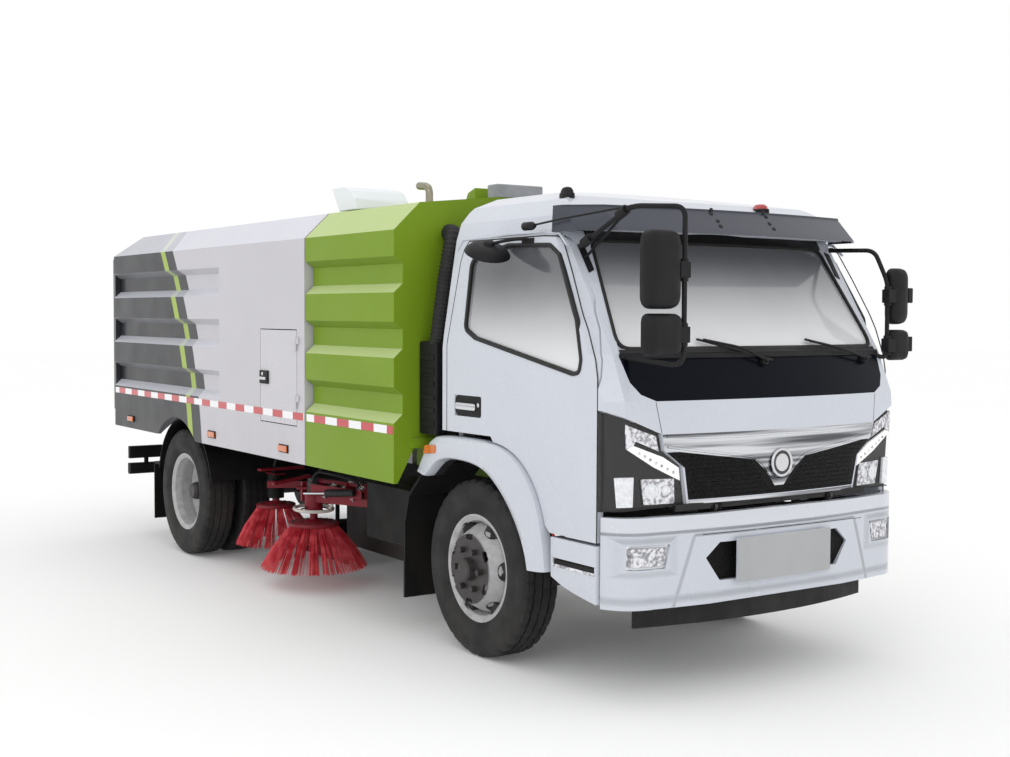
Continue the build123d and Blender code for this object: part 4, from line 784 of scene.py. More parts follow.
def ribbon(name, outline, section, place, material, body, closed=True, step=0.04):
    """Sweeps a section of (offset, height) pairs along an outline that lies on a surface.

    place(u, v, height) gives the point that height above the surface at (u, v).
    """
    line = divided(outline, step, closed)
    rings = []
    for k, spot in enumerate(line):
        before = line[k - 1] if closed or k else spot
        after = line[(k + 1) % len(line)] if closed or k < len(line) - 1 else spot
        a, b = (spot - before), (after - spot)
        a = a.normalized() if a.length else b.normalized()
        b = b.normalized() if b.length else a
        along = (a + b).normalized()
        normal = Vector((along.y, -along.x))
        stretch = 1 / max(0.5, normal.dot(Vector((a.y, -a.x))))
        rings.append([place(*(spot + normal * offset * stretch), height) for offset, height in section])
    return Forms().loops(rings, wrapped=closed).done(name, material, body, smooth=True)


def strip(half, height, foot=-0.003):
    """Section of a low rounded strip."""
    flank = [(half, foot), (half, height * 0.6), (half * 0.6, height)]
    return [(-offset, lift) for offset, lift in flank] + flank[::-1]


# ------------------------------------------------------------------ the cab's outer form
cab_rear, cab_corner_x = -0.235, 1.1855
belt_z, drip_z, drip_y = 1.63, 2.2, 0.935
FACE = ((0.9, 1.268), (1.258, 1.290), (1.414, 1.278), (1.628, 1.186), (2.215, 0.806))  # (z, x)
front_bow = 4.6


def face_x(z):
    for (low_z, low_x), (high_z, high_x) in zip(FACE, FACE[1:]):
        if z <= high_z or high_z == FACE[-1][0]:
            return low_x + (high_x - low_x) * (z - low_z) / (high_z - low_z)


def on_front(y, z, height=0.0):
    """A point of the cab's front face, height proud of it."""
    rake = face_x(z + 0.001) - face_x(z - 0.001)
    normal = Vector((1, y / front_bow, -rake / 0.002)).normalized()
    base = at(face_x(z) - (front_bow - math.sqrt(front_bow**2 - y**2)), y, z)
    return base + normal * height


def side_y(x, z):
    plan = 1.0 - 0.025 * (x - cab_rear) / (cab_corner_x - cab_rear)
    lean = 1.0 - (1.0 - drip_y) * (z - belt_z) / (drip_z - belt_z)
    return min(plan, lean) if z > belt_z else plan


def on_side(side):
    """place() for the cab's side: x from the front axle, z."""
    def place(x, z, height):
        return at(x, side * (side_y(x, z) + height), z)
    return place


# ------------------------------------------------------------------ tyres
# (y from the tyre's middle, radius) from bead to shoulder, then the tread to its middle;
# the third value is how deep the cross cuts go
BEAD_TO_SHOULDER = [(-0.093, 0.2862), (-0.104, 0.300), (-0.1135, 0.322), (-0.1170, 0.350), (-0.1168, 0.352),
                    (-0.1175, 0.366), (-0.1160, 0.372), (-0.1155, 0.405), (-0.1120, 0.430), (-0.1070, 0.446)]
shoulder_cut, rib_cut = 0.009, 0.0063
TREAD = [(-0.1000, 0.4575, shoulder_cut), (-0.0900, 0.4665, shoulder_cut), (-0.0600, 0.4690, shoulder_cut),
         (-0.0560, 0.4690, shoulder_cut), (-0.0550, 0.4580, 0), (-0.0460, 0.4580, 0),
         (-0.0450, 0.4695, rib_cut), (-0.0220, 0.4700, rib_cut), (-0.0040, 0.4700, rib_cut),
         (-0.0030, 0.4590, 0)]


def tyre_rings(axle, mid, count=144):
    """Rings of a road tyre, its middle at y = mid."""
    half = [(y, r, 0) for y, r in BEAD_TO_SHOULDER] + TREAD
    rings = []
    for k in range(count):
        a = 2 * math.pi * k / count
        ring = []
        for y, r, cut in half + [(-y, r, cut) for y, r, cut in reversed(half)]:
            shift = 2 if y > 0 else int(cut == rib_cut)
            if (k + shift) % 4 == 0:
                r -= cut
            ring.append(axle + Vector((r * math.cos(a), mid + y, r * math.sin(a))))
        rings.append(ring)
    return rings


def make_tyres(node, body, mids, axle):
    made = Forms()
    for mid in mids:
        made.loops(tyre_rings(axle, mid), closed=False, wrapped=True)
    obj = made.done(node + "_tread", "tyre", body)
    obj.data.shade_smooth()
    obj.data.set_sharp_from_angle(angle=math.radians(28))
    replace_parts(obj, node)


front_mid, outer_mid, dual_gap = 0.835, 0.982, 0.280
front_axle, rear_axle = at(0, 0, tyre_radius), at(-wheelbase, 0, tyre_radius)
for side, side_name in SIDES:
    rear_mids = [side * outer_mid, side * (outer_mid - dual_gap)]
    make_tyres(f"front_tyre_{side_name}", f"wheel_front_{side_name}", [side * front_mid], front_axle)
    make_tyres(f"rear_tyres_{side_name}", f"wheel_rear_{side_name}", rear_mids, rear_axle)


# ------------------------------------------------------------------ side brooms
PLATE_SHAPE = ((0.028, 0.07), (0.036, 0.062), (0.040, 0.05))  # height and radius of the plate's boss
bristles_per_tuft, bristle_half, tuft_inset = 38, 0.0019, 0.022


def make_broom(node, x, y, top, plate, reach, low, tufts):
    """Plate with a bolted ring and tufts of thin bristles that splay to the floor."""
    centre = at(x, y, 0)
    headings = [2 * math.pi * (k + 0.5) / tufts for k in range(tufts)]
    spokes = [Vector((math.cos(a), math.sin(a), 0)) for a in headings]
    strands = Forms()
    for out in spokes:
        along = Vector((-out.y, out.x, 0))
        for _ in range(bristles_per_tuft):
            u, v = random.uniform(-1, 1), random.uniform(-1, 1)
            root = centre + out * (plate - tuft_inset + 0.012 * u) + along * 0.016 * v + up * (top + 0.004)
            fan = 0.024 * v + random.uniform(-0.004, 0.004)
            run = (reach - plate) * (0.80 + 0.10 * u) + random.uniform(-0.006, 0.006)
            lift = max(0, random.uniform(-0.004, 0.010)) + 0.001
            tip = centre + out * (plate - tuft_inset + run) + along * (0.016 * v + fan) + up * (low + lift)
            bend = root.lerp(tip, 0.55) + out * 0.012 + up * 0.006
            rings = []
            for spot, wide in ((root, bristle_half), (bend, bristle_half), (tip, bristle_half * 0.8)):
                behind = spot - out * wide * 0.5
                rings.append([spot + out * wide, behind + along * wide, behind - along * wide])
            strands.loops(rings)
    obj = strands.done(node + "_bristles", "bristle_red", node)
    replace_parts(obj, node)
    disc = Forms()
    rim = [(0.0, plate - 0.004), (0.006, plate), (0.022, plate), (0.026, plate - 0.006)]
    disc.turned(centre + up * top, up, rim + list(PLATE_SHAPE), 40)
    disc.turned(centre + up * (top + 0.038), up, [(0, 0.026), (0.0735, 0.026)], 20)
    disc.done(node + "_plate", "red_paint", node, smooth=True)
    bolts = Forms()
    for out in spokes:
        spot = centre + out * (plate - tuft_inset) + up * (top + 0.022)
        bolts.turned(spot, up, [(0, 0.011), (0.005, 0.011), (0.008, 0.006)], 8)
    bolts.done(node + "_bolts", "cast_grey", node)


BROOMS = {  # x, y, height and radius of the plate, radius and height of the tips, number of tufts
    "front": (-2.200, 0.800, 0.400, 0.165, 0.400, 0.120, 20),
    "rear": (-2.950, 0.730, 0.430, 0.140, 0.325, 0.170, 16),
}
for end, (x, y, *size) in BROOMS.items():
    for side, side_name in SIDES:
        make_broom(f"broom_{end}_{side_name}", x, side * y, *size)

# ------------------------------------------------------------------ window seals and seams of the cab
WINDOW = [(-0.029, 1.733), (-0.029, 2.075), (0.012, 2.112), (0.305, 2.158), (0.660, 2.146), (0.740, 2.100),
          (0.925, 1.790), (0.962, 1.600), (0.948, 1.540), (0.900, 1.532), (0.077, 1.687)]  # (x, z)
DRIP = [(-0.175, 2.150), (-0.130, 2.203), (0.300, 2.212), (0.600, 2.212), (0.735, 2.196),
        (0.800, 2.140)]  # (x, z)
DOOR_EDGE = [(-0.192, 1.188), (-0.192, 1.670), (-0.137, 2.086), (-0.114, 2.151), (-0.070, 2.192),
             (0.600, 2.192),
             (0.731, 2.184), (0.772, 2.149), (0.853, 2.020), (0.922, 1.901), (1.012, 1.741), (1.068, 1.601),
             (1.084, 1.521), (1.084, 0.758)]  # (x, z)
WINDSCREEN = [(0.861, 1.652), (0.781, 2.172), (-0.781, 2.172), (-0.861, 1.652)]  # (y, z)
for side, side_name in SIDES:
    place, seal = on_side(side), strip(0.010, 0.007, -0.012)
    ribbon(f"window_seal_{side_name}", rounded(WINDOW, 0.05), seal, place, "rubber_black",
           f"door_{side_name}")
    ribbon(f"drip_rail_{side_name}", DRIP, strip(0.006, 0.009), place, "white_paint", "cab", closed=False)
    ribbon(f"door_seam_{side_name}", DOOR_EDGE, strip(0.0026, 0.0008), place, "rubber_black", "cab",
           closed=False)
screen_seal = strip(0.008, 0.006, -0.012)
ribbon("windscreen_seal", rounded(WINDSCREEN, 0.06), screen_seal, on_front, "rubber_black", "cab", step=0.05)

# ------------------------------------------------------------------ reflective tape and markers
body_y = 1.150
tape_y, tape_z = (body_y, body_y + 0.0016), (1.150, 1.195)
MARKERS, marker_z = (-4.79, -3.095, -1.91), 0.955  # x and z of the amber side markers
for side, side_name in SIDES:
    Forms().block((-5.17, -1.62), tape_y, tape_z, side).done(f"tape_hopper_{side_name}", "tape", "hopper")
    Forms().block((-1.58, -0.51), tape_y, tape_z, side).done(f"tape_front_{side_name}", "tape", "chassis")
    for k, x in enumerate(MARKERS):
        base = Forms().block(span(x, 0.070), (body_y, body_y + 0.006), span(marker_z, 0.026), side)
        base.done(f"marker_base_{side_name}_{k}", "black_plastic", "hopper", 0.003)
        lens = Forms().block(span(x, 0.062), (body_y + 0.006, body_y + 0.016), span(marker_z, 0.020), side)
        lens.done(f"marker_lens_{side_name}_{k}", "lamp_amber", "hopper", 0.006)


# ------------------------------------------------------------------ patches seen in the photograph
def patch(name, nodes, pixels, gauge, material, body, sink=0.002, round_off=0.0):
    """A thin plate on the nodes inside an outline of pixels, and its mirror image."""
    spots = [seen(nodes, *spot) for spot in divided(pixels, 9.0)]
    low, high = [p - n * sink for p, n in spots], [p + n * gauge for p, n in spots]
    made = Forms().loops([low, high])
    made.loops([[flip(p) for p in low], [flip(p) for p in high]])
    made.done(name, material, body, round_off)


def pixel_line(nodes, pixels):
    """Points on the nodes along an open line of pixels."""
    return [seen(nodes, *spot)[0] for spot in divided(pixels, 14.0, closed=False)]


# ------------------------------------------------------------------ headlights
LAMP = ("headlights",)
bowl_depth = 0.024


def is_outer_face(face):
    """Whether a face of the headlights' covers is one that shows from the front or the side."""
    centre, normal = face.center, face.normal
    ahead_or_aside = normal.x > 0.25 or abs(normal.y) > 0.6 and normal.y * centre.y > 0
    hit = tree(*LAMP).ray_cast(centre + normal * 0.2, -normal)[0]
    return ahead_or_aside and normal.z <= 0.9 and hit is not None and (hit - centre).length <= 0.003


def lamp_bowls():
    """Dark housings behind the clear covers: the covers' outer faces moved inwards."""
    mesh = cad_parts["headlights"].data
    made, index = Forms(), {}
    for face in filter(is_outer_face, mesh.polygons):
        corners = []
        for number in face.vertices:
            key = tuple(round(c, 4) for c in mesh.vertices[number].co)
            if key not in index:
                index[key] = len(made.points)
                made.points.append(Vector(key))
            corners.append(index[key])
        made.faces.append(tuple(corners))
    obj = made.done("headlight_bowls", "lamp_bowl", "cab")
    work = bmesh.new()
    work.from_mesh(obj.data)
    work.normal_update()
    outline = [e for e in work.edges if e.is_boundary]
    shifts = {}
    for v in work.verts:
        outwards = Vector((1, math.copysign(0.4, v.co.y), 0))
        shifts[v] = v.normal.copy() if v.normal.dot(outwards) >= 0 else -v.normal
    walls = bmesh.ops.extrude_edge_only(work, edges=outline)
    for v, normal in shifts.items():
        v.co -= normal * bowl_depth
    for v in walls["geom"]:
        if isinstance(v, bmesh.types.BMVert):
            near = min(shifts, key=lambda w: (w.co + shifts[w] * bowl_depth - v.co).length)
            v.co -= shifts[near] * 0.0012
    work.to_mesh(obj.data)
    work.free()


lamp_bowls()
DRL_TOP = [(625, 424.5), (657, 436.5), (660, 452), (637, 442), (633, 449.5), (627, 449)]
DRL_STRIP = [(627.5, 450), (635, 446.5), (664, 457.5), (680, 468), (681, 481), (655, 468)]
POSITION_LAMP = [(613.5, 478.5), (634.5, 478), (633.5, 508), (616, 508.5)]
MAIN_LAMP = [(642, 480), (675.5, 479), (676, 504), (645, 506)]
patch("daylight_frames", LAMP, DRL_TOP, -0.010, "lamp_silver", "cab", sink=0.020, round_off=0.001)
patch("daylight_strips", LAMP, DRL_STRIP, -0.009, "led_white", "cab", sink=0.020, round_off=0.001)
patch("position_lamps", LAMP, POSITION_LAMP, -0.006, "lamp_white", "cab", sink=0.021, round_off=0.002)
patch("main_lamp_boxes", LAMP, MAIN_LAMP, -0.012, "lamp_silver", "cab", sink=0.021, round_off=0.002)

leds, lenses = Forms(), Forms()
for k in range(7):
    for spot, way in seen_twice(LAMP, 640 + 5.7 * k, 454 + 3.1 * k):
        leds.turned(spot - way * 0.010, way, [(0, 0.0075), (0.003, 0.0065), (0.005, 0.0035)], 12)
leds.done("daylight_leds", "lamp_silver", "cab", smooth=True)
# height, and share of the radius, of a lens
LENS = ((0, 1), (0.006, 1), (0.006, 0.85), (0.002, 0.8), (0.004, 0.5), (0.0075, 0.2))
for px, py, radius in ((652, 492, 0.036), (667, 491, 0.022)):
    for spot, way in seen_twice(LAMP, px, py):
        lenses.turned(spot - way * 0.014, way, [(height, radius * share) for height, share in LENS], 24)
lenses.done("main_lamp_lenses", "lamp_white", "cab", smooth=True)

# ------------------------------------------------------------------ chrome bar, grille and cowl panel
BAR_TOP = [(667, 436.5), (700, 437.5), (740, 436.5), (790, 432), (840, 427), (868, 424.5)]
BAR_FOOT = [(668, 447), (700, 451), (750, 456), (760, 460), (766, 468), (773, 479)]
BAR_NODES = ("chrome_trim", "cab_shell", "grille", "headlights")
for name, line, radius in (("top", BAR_TOP, 0.006), ("foot", BAR_FOOT, 0.007)):
    near_half = [p for p in pixel_line(BAR_NODES, line) if p.y < -0.02]
    tube(f"chrome_bead_{name}", near_half + [flip(p) for p in near_half[::-1]], radius, "trim_chrome", "cab")

badge_centre = seen(("chrome_trim", "grille"), 782, 462)[0]
badge_centre.y = 0
badge_normal = Vector((1, 0, 0.02)).normalized()
badge = Forms().torus(badge_centre + badge_normal * 0.010, badge_normal, 0.064, 0.0075, 48, 10)
badge.turned(badge_centre, badge_normal, [(0.004, 0.046), (0.013, 0.043), (0.016, 0.001)], 32)
badge.done("round_trim_blank", "rod_chrome", "cab", smooth=True)
badge_back = Forms().turned(badge_centre, badge_normal, [(-0.010, 0.062), (0.008, 0.062)], 40)
badge_back.done("round_trim_back", "cast_grey", "cab")


def from_ahead(nodes, y, z):
    """The nodes' foremost point at y and z, or None."""
    found = cast(nodes, at(1.6, y, z), Vector((-1, 0, 0)))
    return found[0] if found else None


def grille_face(y, z):
    """The grille's face at y and z, or None where the cab or its trim covers it."""
    face, cover = from_ahead(("grille",), y, z), from_ahead(("chrome_trim", "cab_shell", "headlights"), y, z)
    return face if face and (cover is None or face.x > cover.x) else None


SLAT = [Vector(corner) for corner in ((-0.003, 0, -0.003), (0.004, 0, -0.002), (0.004, 0, 0.002),
                                      (-0.003, 0, 0.003))]
slat_foot, slat_pitch, slat_step = 0.957, 0.0215, 0.02
slats = Forms()
for row in range(12):
    run = []
    for k in range(-38, 40):
        spot = grille_face(k * slat_step, slat_foot + row * slat_pitch)
        if spot is not None:
            run.append([spot + corner for corner in SLAT])
            continue
        if len(run) > 2:
            slats.loops(run[1:-1])
        run = []
slats.done("grille_slats", "mesh", "cab")

cowl_edge = [(-0.868, 1.618), (0.0, 1.618), (0.868, 1.618)]
ribbon("cowl_lip", cowl_edge, strip(0.012, 0.012), on_front, "black_plastic", "cab", closed=False)
for side, side_name in SIDES:
    seam = [(side * 0.741, 1.410), (side * 0.716, 1.265)]
    ribbon(f"front_panel_seam_{side_name}", seam, strip(0.0014, 0.0006), on_front, "rubber_black", "cab",
           closed=False)
for name, z, half_y, half in (("header", 2.193, 0.800, 0.027), ("sill", 1.632, 0.862, 0.016)):
    band = [(-half, 0.0005), (-half, 0.003), (half, 0.003), (half, 0.0005)]
    edge = [(-half_y, z), (half_y, z)]
    ribbon(f"windscreen_{name}", edge, band, on_front, "rubber_black", "cab", closed=False, step=0.05)

# ------------------------------------------------------------------ wipers
CAB_SKIN = ("cab_shell", "door_right", "cab_glass", "cowl_panel", "chrome_trim", "grille", "headlights")


def make_wiper(name, pivot_px, elbow_px, tip_px, blade_px):
    """Arm from its pivot on the cowl to a blade lying on the windscreen."""
    (pivot, n0), (elbow, n1), (tip, n2) = [seen(CAB_SKIN, *px) for px in (pivot_px, elbow_px, tip_px)]
    cap = [(0, 0.022), (0.022, 0.020), (0.028, 0.013), (0.040, 0.011)]
    hub = Forms().turned(pivot - n0 * 0.004, n0, cap, 16)
    hub.done(name + "_pivot", "black_plastic", "cab", smooth=True)
    line = [pivot + n0 * 0.026, pivot.lerp(elbow, 0.3) + n0 * 0.034, elbow + n1 * 0.040,
            elbow.lerp(tip, 0.6) + n2 * 0.034, tip + n2 * 0.030]
    tube(name + "_arm", line, 0.0065, "black_plastic", "cab")
    (a, na), (b, nb) = [seen(CAB_SKIN, *px) for px in blade_px]
    blade = [a + na * 0.016, a.lerp(b, 0.5) + na * 0.019, b + nb * 0.016]
    tube(name + "_blade", blade, 0.006, "rubber_black", "cab")


make_wiper("wiper_right", (763, 362), (738, 352), (700, 343), ((695, 341), (770, 361)))
make_wiper("wiper_left", (862, 360), (838, 352), (806, 344), ((803, 341), (868, 358)))


# ------------------------------------------------------------------ lamps and fittings on the cab roof
def roof_lamp(name, px, py, size, material):
    """A lamp on an oval black base; size is its length, width and height."""
    foot, _ = seen(("cab_shell",), px, py)
    length, width, height = size
    base = Forms().turned(foot - up * 0.012, up, [(0, 0.5), (0.022, 0.5), (0.026, 0.46)], 20)
    bulge = [(0.012, 0.44), (height * 0.6, 0.40), (height * 0.9, 0.28), (height, 0.08)]
    dome = Forms().turned(foot, up, bulge, 20)
    for p in base.points + dome.points:
        p.x = foot.x + (p.x - foot.x) * length
        p.y = foot.y + (p.y - foot.y) * width
    base.done(name + "_base", "black_plastic", "cab")
    dome.done(name + "_dome", material, "cab", smooth=True)


roof_lamp("roof_lamp_rear", 567, 196, (0.10, 0.06, 0.045), "black_plastic")
roof_lamp("roof_lamp_front", 760, 212, (0.12, 0.07, 0.042), "lamp_red")

visor_screws = Forms()
for px, py in ((711, 210), (718, 221), (766, 217), (774, 229)):
    for spot, way in seen_twice(("sun_visor",), px, py):
        visor_screws.turned(spot - way * 0.001, way, [(0, 0.011), (0.004, 0.011), (0.006, 0.006)], 12)
visor_screws.done("visor_screws", "rubber_black", "cab")

# plate on the pillar that braces the mirror's tube, and the stays up to its clamp
PILLAR_PLATE = [(577, 245), (583, 243), (594, 270), (589, 273)]
patch("pillar_plates", CAB_SKIN, PILLAR_PLATE, 0.005, "black_plastic", "cab", round_off=0.001)
stay_foot, stay_out = seen(CAB_SKIN, 585, 258)
near_clamp, near_end = at(1.230, -0.905, 2.300), at(0.860, -0.915, 2.130)
knob = at(0.565, -1.000, 2.238)
STAYS = (("mirror_stay", [stay_foot - stay_out * 0.004, stay_foot.lerp(near_clamp, 0.5), near_clamp], 0.007),
         ("lamp_stay", [knob, at(0.80, -0.975, 2.262), near_clamp], 0.005))
for name, line, radius in STAYS:
    tube(name, line, radius, "black_plastic", "cab", smooth=False)
CAMERA_FORM = [(0, 0.012), (0.012, 0.021), (0.075, 0.021), (0.1, 0.010)]
camera_form = Forms().turned(knob - Vector((0.05, 0, 0)), (1, 0, 0), CAMERA_FORM, 16)
camera_form.done("side_camera", "black_plastic", "cab", smooth=True)
for k, share in enumerate((0.16, 0.84)):
    spot = near_clamp.lerp(near_end, share) - Vector((0.03, 0, 0.012))
    clamp = Forms().turned(spot, (0.91, 0, 0.42), [(0, 0.016), (0, 0.024), (0.06, 0.024), (0.06, 0.016)], 12)
    clamp.done(f"mirror_clamp_top_{k}", "black_plastic", "cab")

# ------------------------------------------------------------------ mirrors
NEAR_ARM = [at(1.095, -0.842, 1.612), at(1.410, -0.780, 1.585), at(1.450, -0.780, 1.620),
            at(1.450, -0.780, 2.290),
            near_clamp, near_end]
FAR_ARM = [at(1.095, 0.842, 1.612), at(1.140, 0.910, 1.585), at(1.130, 0.930, 1.640), at(1.130, 0.930, 1.985),
           at(1.040, 0.925, 2.160), at(0.790, 0.850, 2.165)]
near_tube = tube("mirror_arm_right", bent(NEAR_ARM, 0.05), 0.012, "black_plastic", "cab", smooth=False)
tube("mirror_arm_left", bent(FAR_ARM, 0.05), 0.012, "black_plastic", "cab", smooth=False)
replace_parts(near_tube, "mirrors")

MIRROR_HEADS = (  # middle y and z, half sizes, corner radius, tube's y, front x, depth
    (-0.900, 2.0105, 0.100, 0.1745, 0.060, -0.780, 1.476, 0.074),
    (-0.895, 1.7240, 0.104, 0.0930, 0.042, -0.780, 1.476, 0.066),
    (1.015, 1.9150, 0.066, 0.1500, 0.056, 0.930, 1.163, 0.070),
    (1.018, 1.6550, 0.074, 0.0820, 0.040, 0.930, 1.163, 0.062),
)
# how far back from the front, as a share of the depth, and how far in from the edge
SHELL = ((1.0, 0.012), (1.0, 0.004), (0.92, 0.0), (0.55, 0.001), (0.30, 0.006), (0.14, 0.016), (0.05, 0.030),
         (0.0, 0.046))
for k, (y, z, half_y, half_z, corner, bar_y, front_x, depth) in enumerate(MIRROR_HEADS):
    square = [(-half_y, -half_z), (half_y, -half_z), (half_y, half_z), (-half_y, half_z)]
    outline = rounded(square, corner, 8)
    rings = []
    for back, inset in SHELL:
        narrow, low = 1 - inset / half_y, 1 - inset / half_z
        rings.append([at(front_x - back * depth, y + p.x * narrow, z + p.y * low) for p in outline])
    Forms().loops(rings).done(f"mirror_shell_{k}", "black_plastic", "cab", smooth=True)
    faces = []
    for lift, share in ((-0.002, 0.92), (0.001, 0.90)):
        faces.append([at(front_x - depth - lift, y + p.x * share, z + p.y * share) for p in outline])
    Forms().loops(faces).done(f"mirror_face_{k}", "mirror_glass", "cab")
    inner = math.copysign(1, bar_y)
    hub = Forms().block((front_x - 0.055, front_x - 0.004), (inner * bar_y - 0.020, inner * bar_y + 0.040),
                        span(z, 0.036), inner)
    hub.turned(at(front_x - 0.030, bar_y, z - 0.052), up, [(0, 0.020), (0.104, 0.020)], 16)
    hub.done(f"mirror_bracket_{k}", "black_plastic", "cab", 0.004)
for k, (y, z) in enumerate(((1.090, 1.920), (1.092, 1.660))):
    bar = Forms().block((1.108, 1.150), (y - 0.014, y + 0.022), span(z, 0.040))
    bar.done(f"mirror_side_block_{k}", "black_plastic", "cab", 0.005)

# kerb mirror on the right door's frame
kerb_centre, kerb_axis = at(0.300, -1.068, 2.112), Vector((-0.42, 0.10, -0.90)).normalized()
KERB_SHELL = [(-0.072, 0.012), (-0.066, 0.026), (-0.052, 0.030), (-0.048, 0.058), (-0.032, 0.092),
              (-0.010, 0.113), (0.0, 0.117), (0.004, 0.110)]
KERB_FACE = [(0.001, 0.111), (0.012, 0.085), (0.020, 0.045), (0.023, 0.002)]
kerb = Forms().turned(kerb_centre, kerb_axis, KERB_SHELL, 36)
kerb.done("kerb_mirror_shell", "black_plastic", "door_right", smooth=True)
kerb_glass = Forms().turned(kerb_centre, kerb_axis, KERB_FACE, 32)
kerb_glass.done("kerb_mirror_face", "mirror_glass", "door_right", smooth=True)
kerb_y = side_y(0.475, 2.178)
kerb_foot = at(0.475, -kerb_y, 2.178)
kerb_line = [kerb_foot + Vector((0, 0.006, 0)), kerb_foot + Vector((-0.02, -0.05, 0.012)),
             kerb_centre - kerb_axis * 0.050]
tube("kerb_mirror_arm", kerb_line, 0.008, "black_plastic", "door_right")
bracket = Forms().block((0.425, 0.520), (kerb_y - 0.006, kerb_y + 0.010), (2.160, 2.186), -1)
bracket.done("kerb_mirror_bracket", "black_plastic", "door_right", 0.002)

# ------------------------------------------------------------------ doors
HANDLE_PARTS = (  # name, x, z, y, material, corner radius
    ("recess", (-0.118, 0.136), (1.272, 1.388), (0.9885, 0.9930), "black_plastic", 0.045),
    ("bar", (-0.100, 0.092), (1.310, 1.346), (0.9920, 1.0060), "trim_chrome", 0.017),
)
for side, side_name in SIDES:
    body = f"door_{side_name}"
    for name, (x0, x1), (z0, z1), (low, high), material, corner in HANDLE_PARTS:
        outline = rounded([(x0, z0), (x1, z0), (x1, z1), (x0, z1)], corner, 6)
        made = Forms().through(outline, side * low, side * high)
        made.done(f"handle_{name}_{side_name}", material, body, 0.002)
    barrel = [(0, 0.012), (0.008, 0.012), (0.010, 0.008)]
    lock = Forms().turned(at(0.112, side * 0.991, 1.340), (0, side, 0), barrel, 16)
    lock.done(f"door_lock_{side_name}", "trim_chrome", body)

# ------------------------------------------------------------------ bumper
plate_y, plate_low, plate_high = 0.3145, 0.5465, 0.7565
PLATE = [(-plate_y, plate_low), (plate_y, plate_low), (plate_y, plate_high), (-plate_y, plate_high)]
plate = Forms().loops([[at(x, p.x, p.y) for p in rounded(PLATE, 0.008, 3)] for x in (1.3195, 1.3212)])
plate.done("number_plate_blank", "plate_grey", "chassis")
Forms().block((1.262, 1.266), (-0.47, 0.47), (0.545, 0.760)).done("bumper_mesh", "mesh", "chassis")
# painted shade: a thin black tube along the bumper's crease
crease = pixel_line(("front_bumper",), [(703, 534.5), (740, 531), (861, 517.5)])
tube("bumper_crease_shade", [p - Vector((0.0012, 0, 0)) for p in crease], 0.0022, "rubber_black", "chassis")


def on_fog_lamp(y, z, height):
    return from_ahead(("fog_lamps",), y, z) + Vector((height, 0, 0))


FOG_BEZEL = ((0.690, 0.744), (0.876, 0.744), (0.876, 0.648), (0.708, 0.648))  # (y, z)
for side, side_name in SIDES:
    bezel, rim = rounded([(side * y, z) for y, z in FOG_BEZEL], 0.012, 4), strip(0.006, 0.003, -0.001)
    ribbon(f"fog_bezel_{side_name}", bezel, rim, on_fog_lamp, "trim_chrome", "chassis", step=0.02)

# ------------------------------------------------------------------ fenders, door feet and steps
FENDER_OUTER = [(-0.464, 0.952), (-0.430, 1.020), (-0.364, 1.110), (-0.300, 1.148), (-0.227, 1.160),
                (-0.002, 1.165), (0.236, 1.159), (0.372, 1.132), (0.483, 1.079), (0.570, 1.001),
                (0.634, 0.911), (0.677, 0.806), (0.710, 0.677), (0.722, 0.570)]
FENDER_INNER = [(-0.455, 0.940), (-0.399, 0.915), (-0.350, 0.955), (-0.278, 1.009), (-0.200, 1.033),
                (-0.125, 1.041), (0.048, 1.039), (0.190, 1.009), (0.306, 0.936), (0.419, 0.836),
                (0.508, 0.722), (0.555, 0.630), (0.574, 0.559)]
# share of the way from the outer to the inner edge, and y, of the fender's section
FENDER_SECTION = [(0.0, 0.9850), (0.02, 1.0080), (0.10, 1.0190), (0.30, 1.0240), (0.75, 1.0230),
                  (0.93, 1.0170), (1.0, 1.0030), (1.0, 0.9560), (0.90, 0.9560), (0.0, 0.9560)]
fender_outer, fender_inner = resampled(eased(FENDER_OUTER), 60), resampled(eased(FENDER_INNER), 60)
liner_gauge, liner_y = 0.06, (0.958, 0.8970)
# the door's skin runs down to the fender's edge
above_fender = [(0.22, 1.183)] + [tuple(p) for p in fender_outer if p.x > 0.22 and p.y > 0.762]
door_foot = [(x + (0.006 if x > 0.3 else 0), z + 0.006) for x, z in above_fender]
door_foot += [(0.724, 0.761), (0.850, 0.761), (0.800, 0.950), (0.668, 1.094), (0.486, 1.189)]
AMBER_LAMP = rounded([(-0.392, 1.048), (-0.270, 1.060), (-0.262, 1.106), (-0.372, 1.098)], 0.01, 3)  # (x, z)
fenders, liners = Forms(), Forms()
for side, side_name in SIDES:
    skins, housings = [], []
    for a, b in zip(fender_outer, fender_inner):
        section = [(a.lerp(b, share), y) for share, y in FENDER_SECTION]
        skins.append([at(p.x, side * y, p.y) for p, y in section])
        back = b.lerp(a, liner_gauge)
        corners = [(b, liner_y[0]), (b, liner_y[1]), (back, liner_y[1]), (back, liner_y[0])]
        housings.append([at(p.x, side * y, p.y) for p, y in corners])
    fenders.loops(skins)
    liners.loops(housings)
    place = on_side(side)
    foot = Forms().loops([[place(x, z, height) for x, z in door_foot] for height in (-0.016, 0.0004)])
    foot.done(f"door_foot_{side_name}", "white_paint", f"door_{side_name}")
    lamp = Forms().through(AMBER_LAMP, side * 1.020, side * 1.031)
    lamp.done(f"fender_lamp_{side_name}", "lamp_amber", "cab", 0.002)
fender_obj = fenders.done("fender_skins", "white_paint", "cab", smooth=True)
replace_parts(fender_obj, "front_fenders")
liners.done("fender_liners", "rubber_black", "cab")

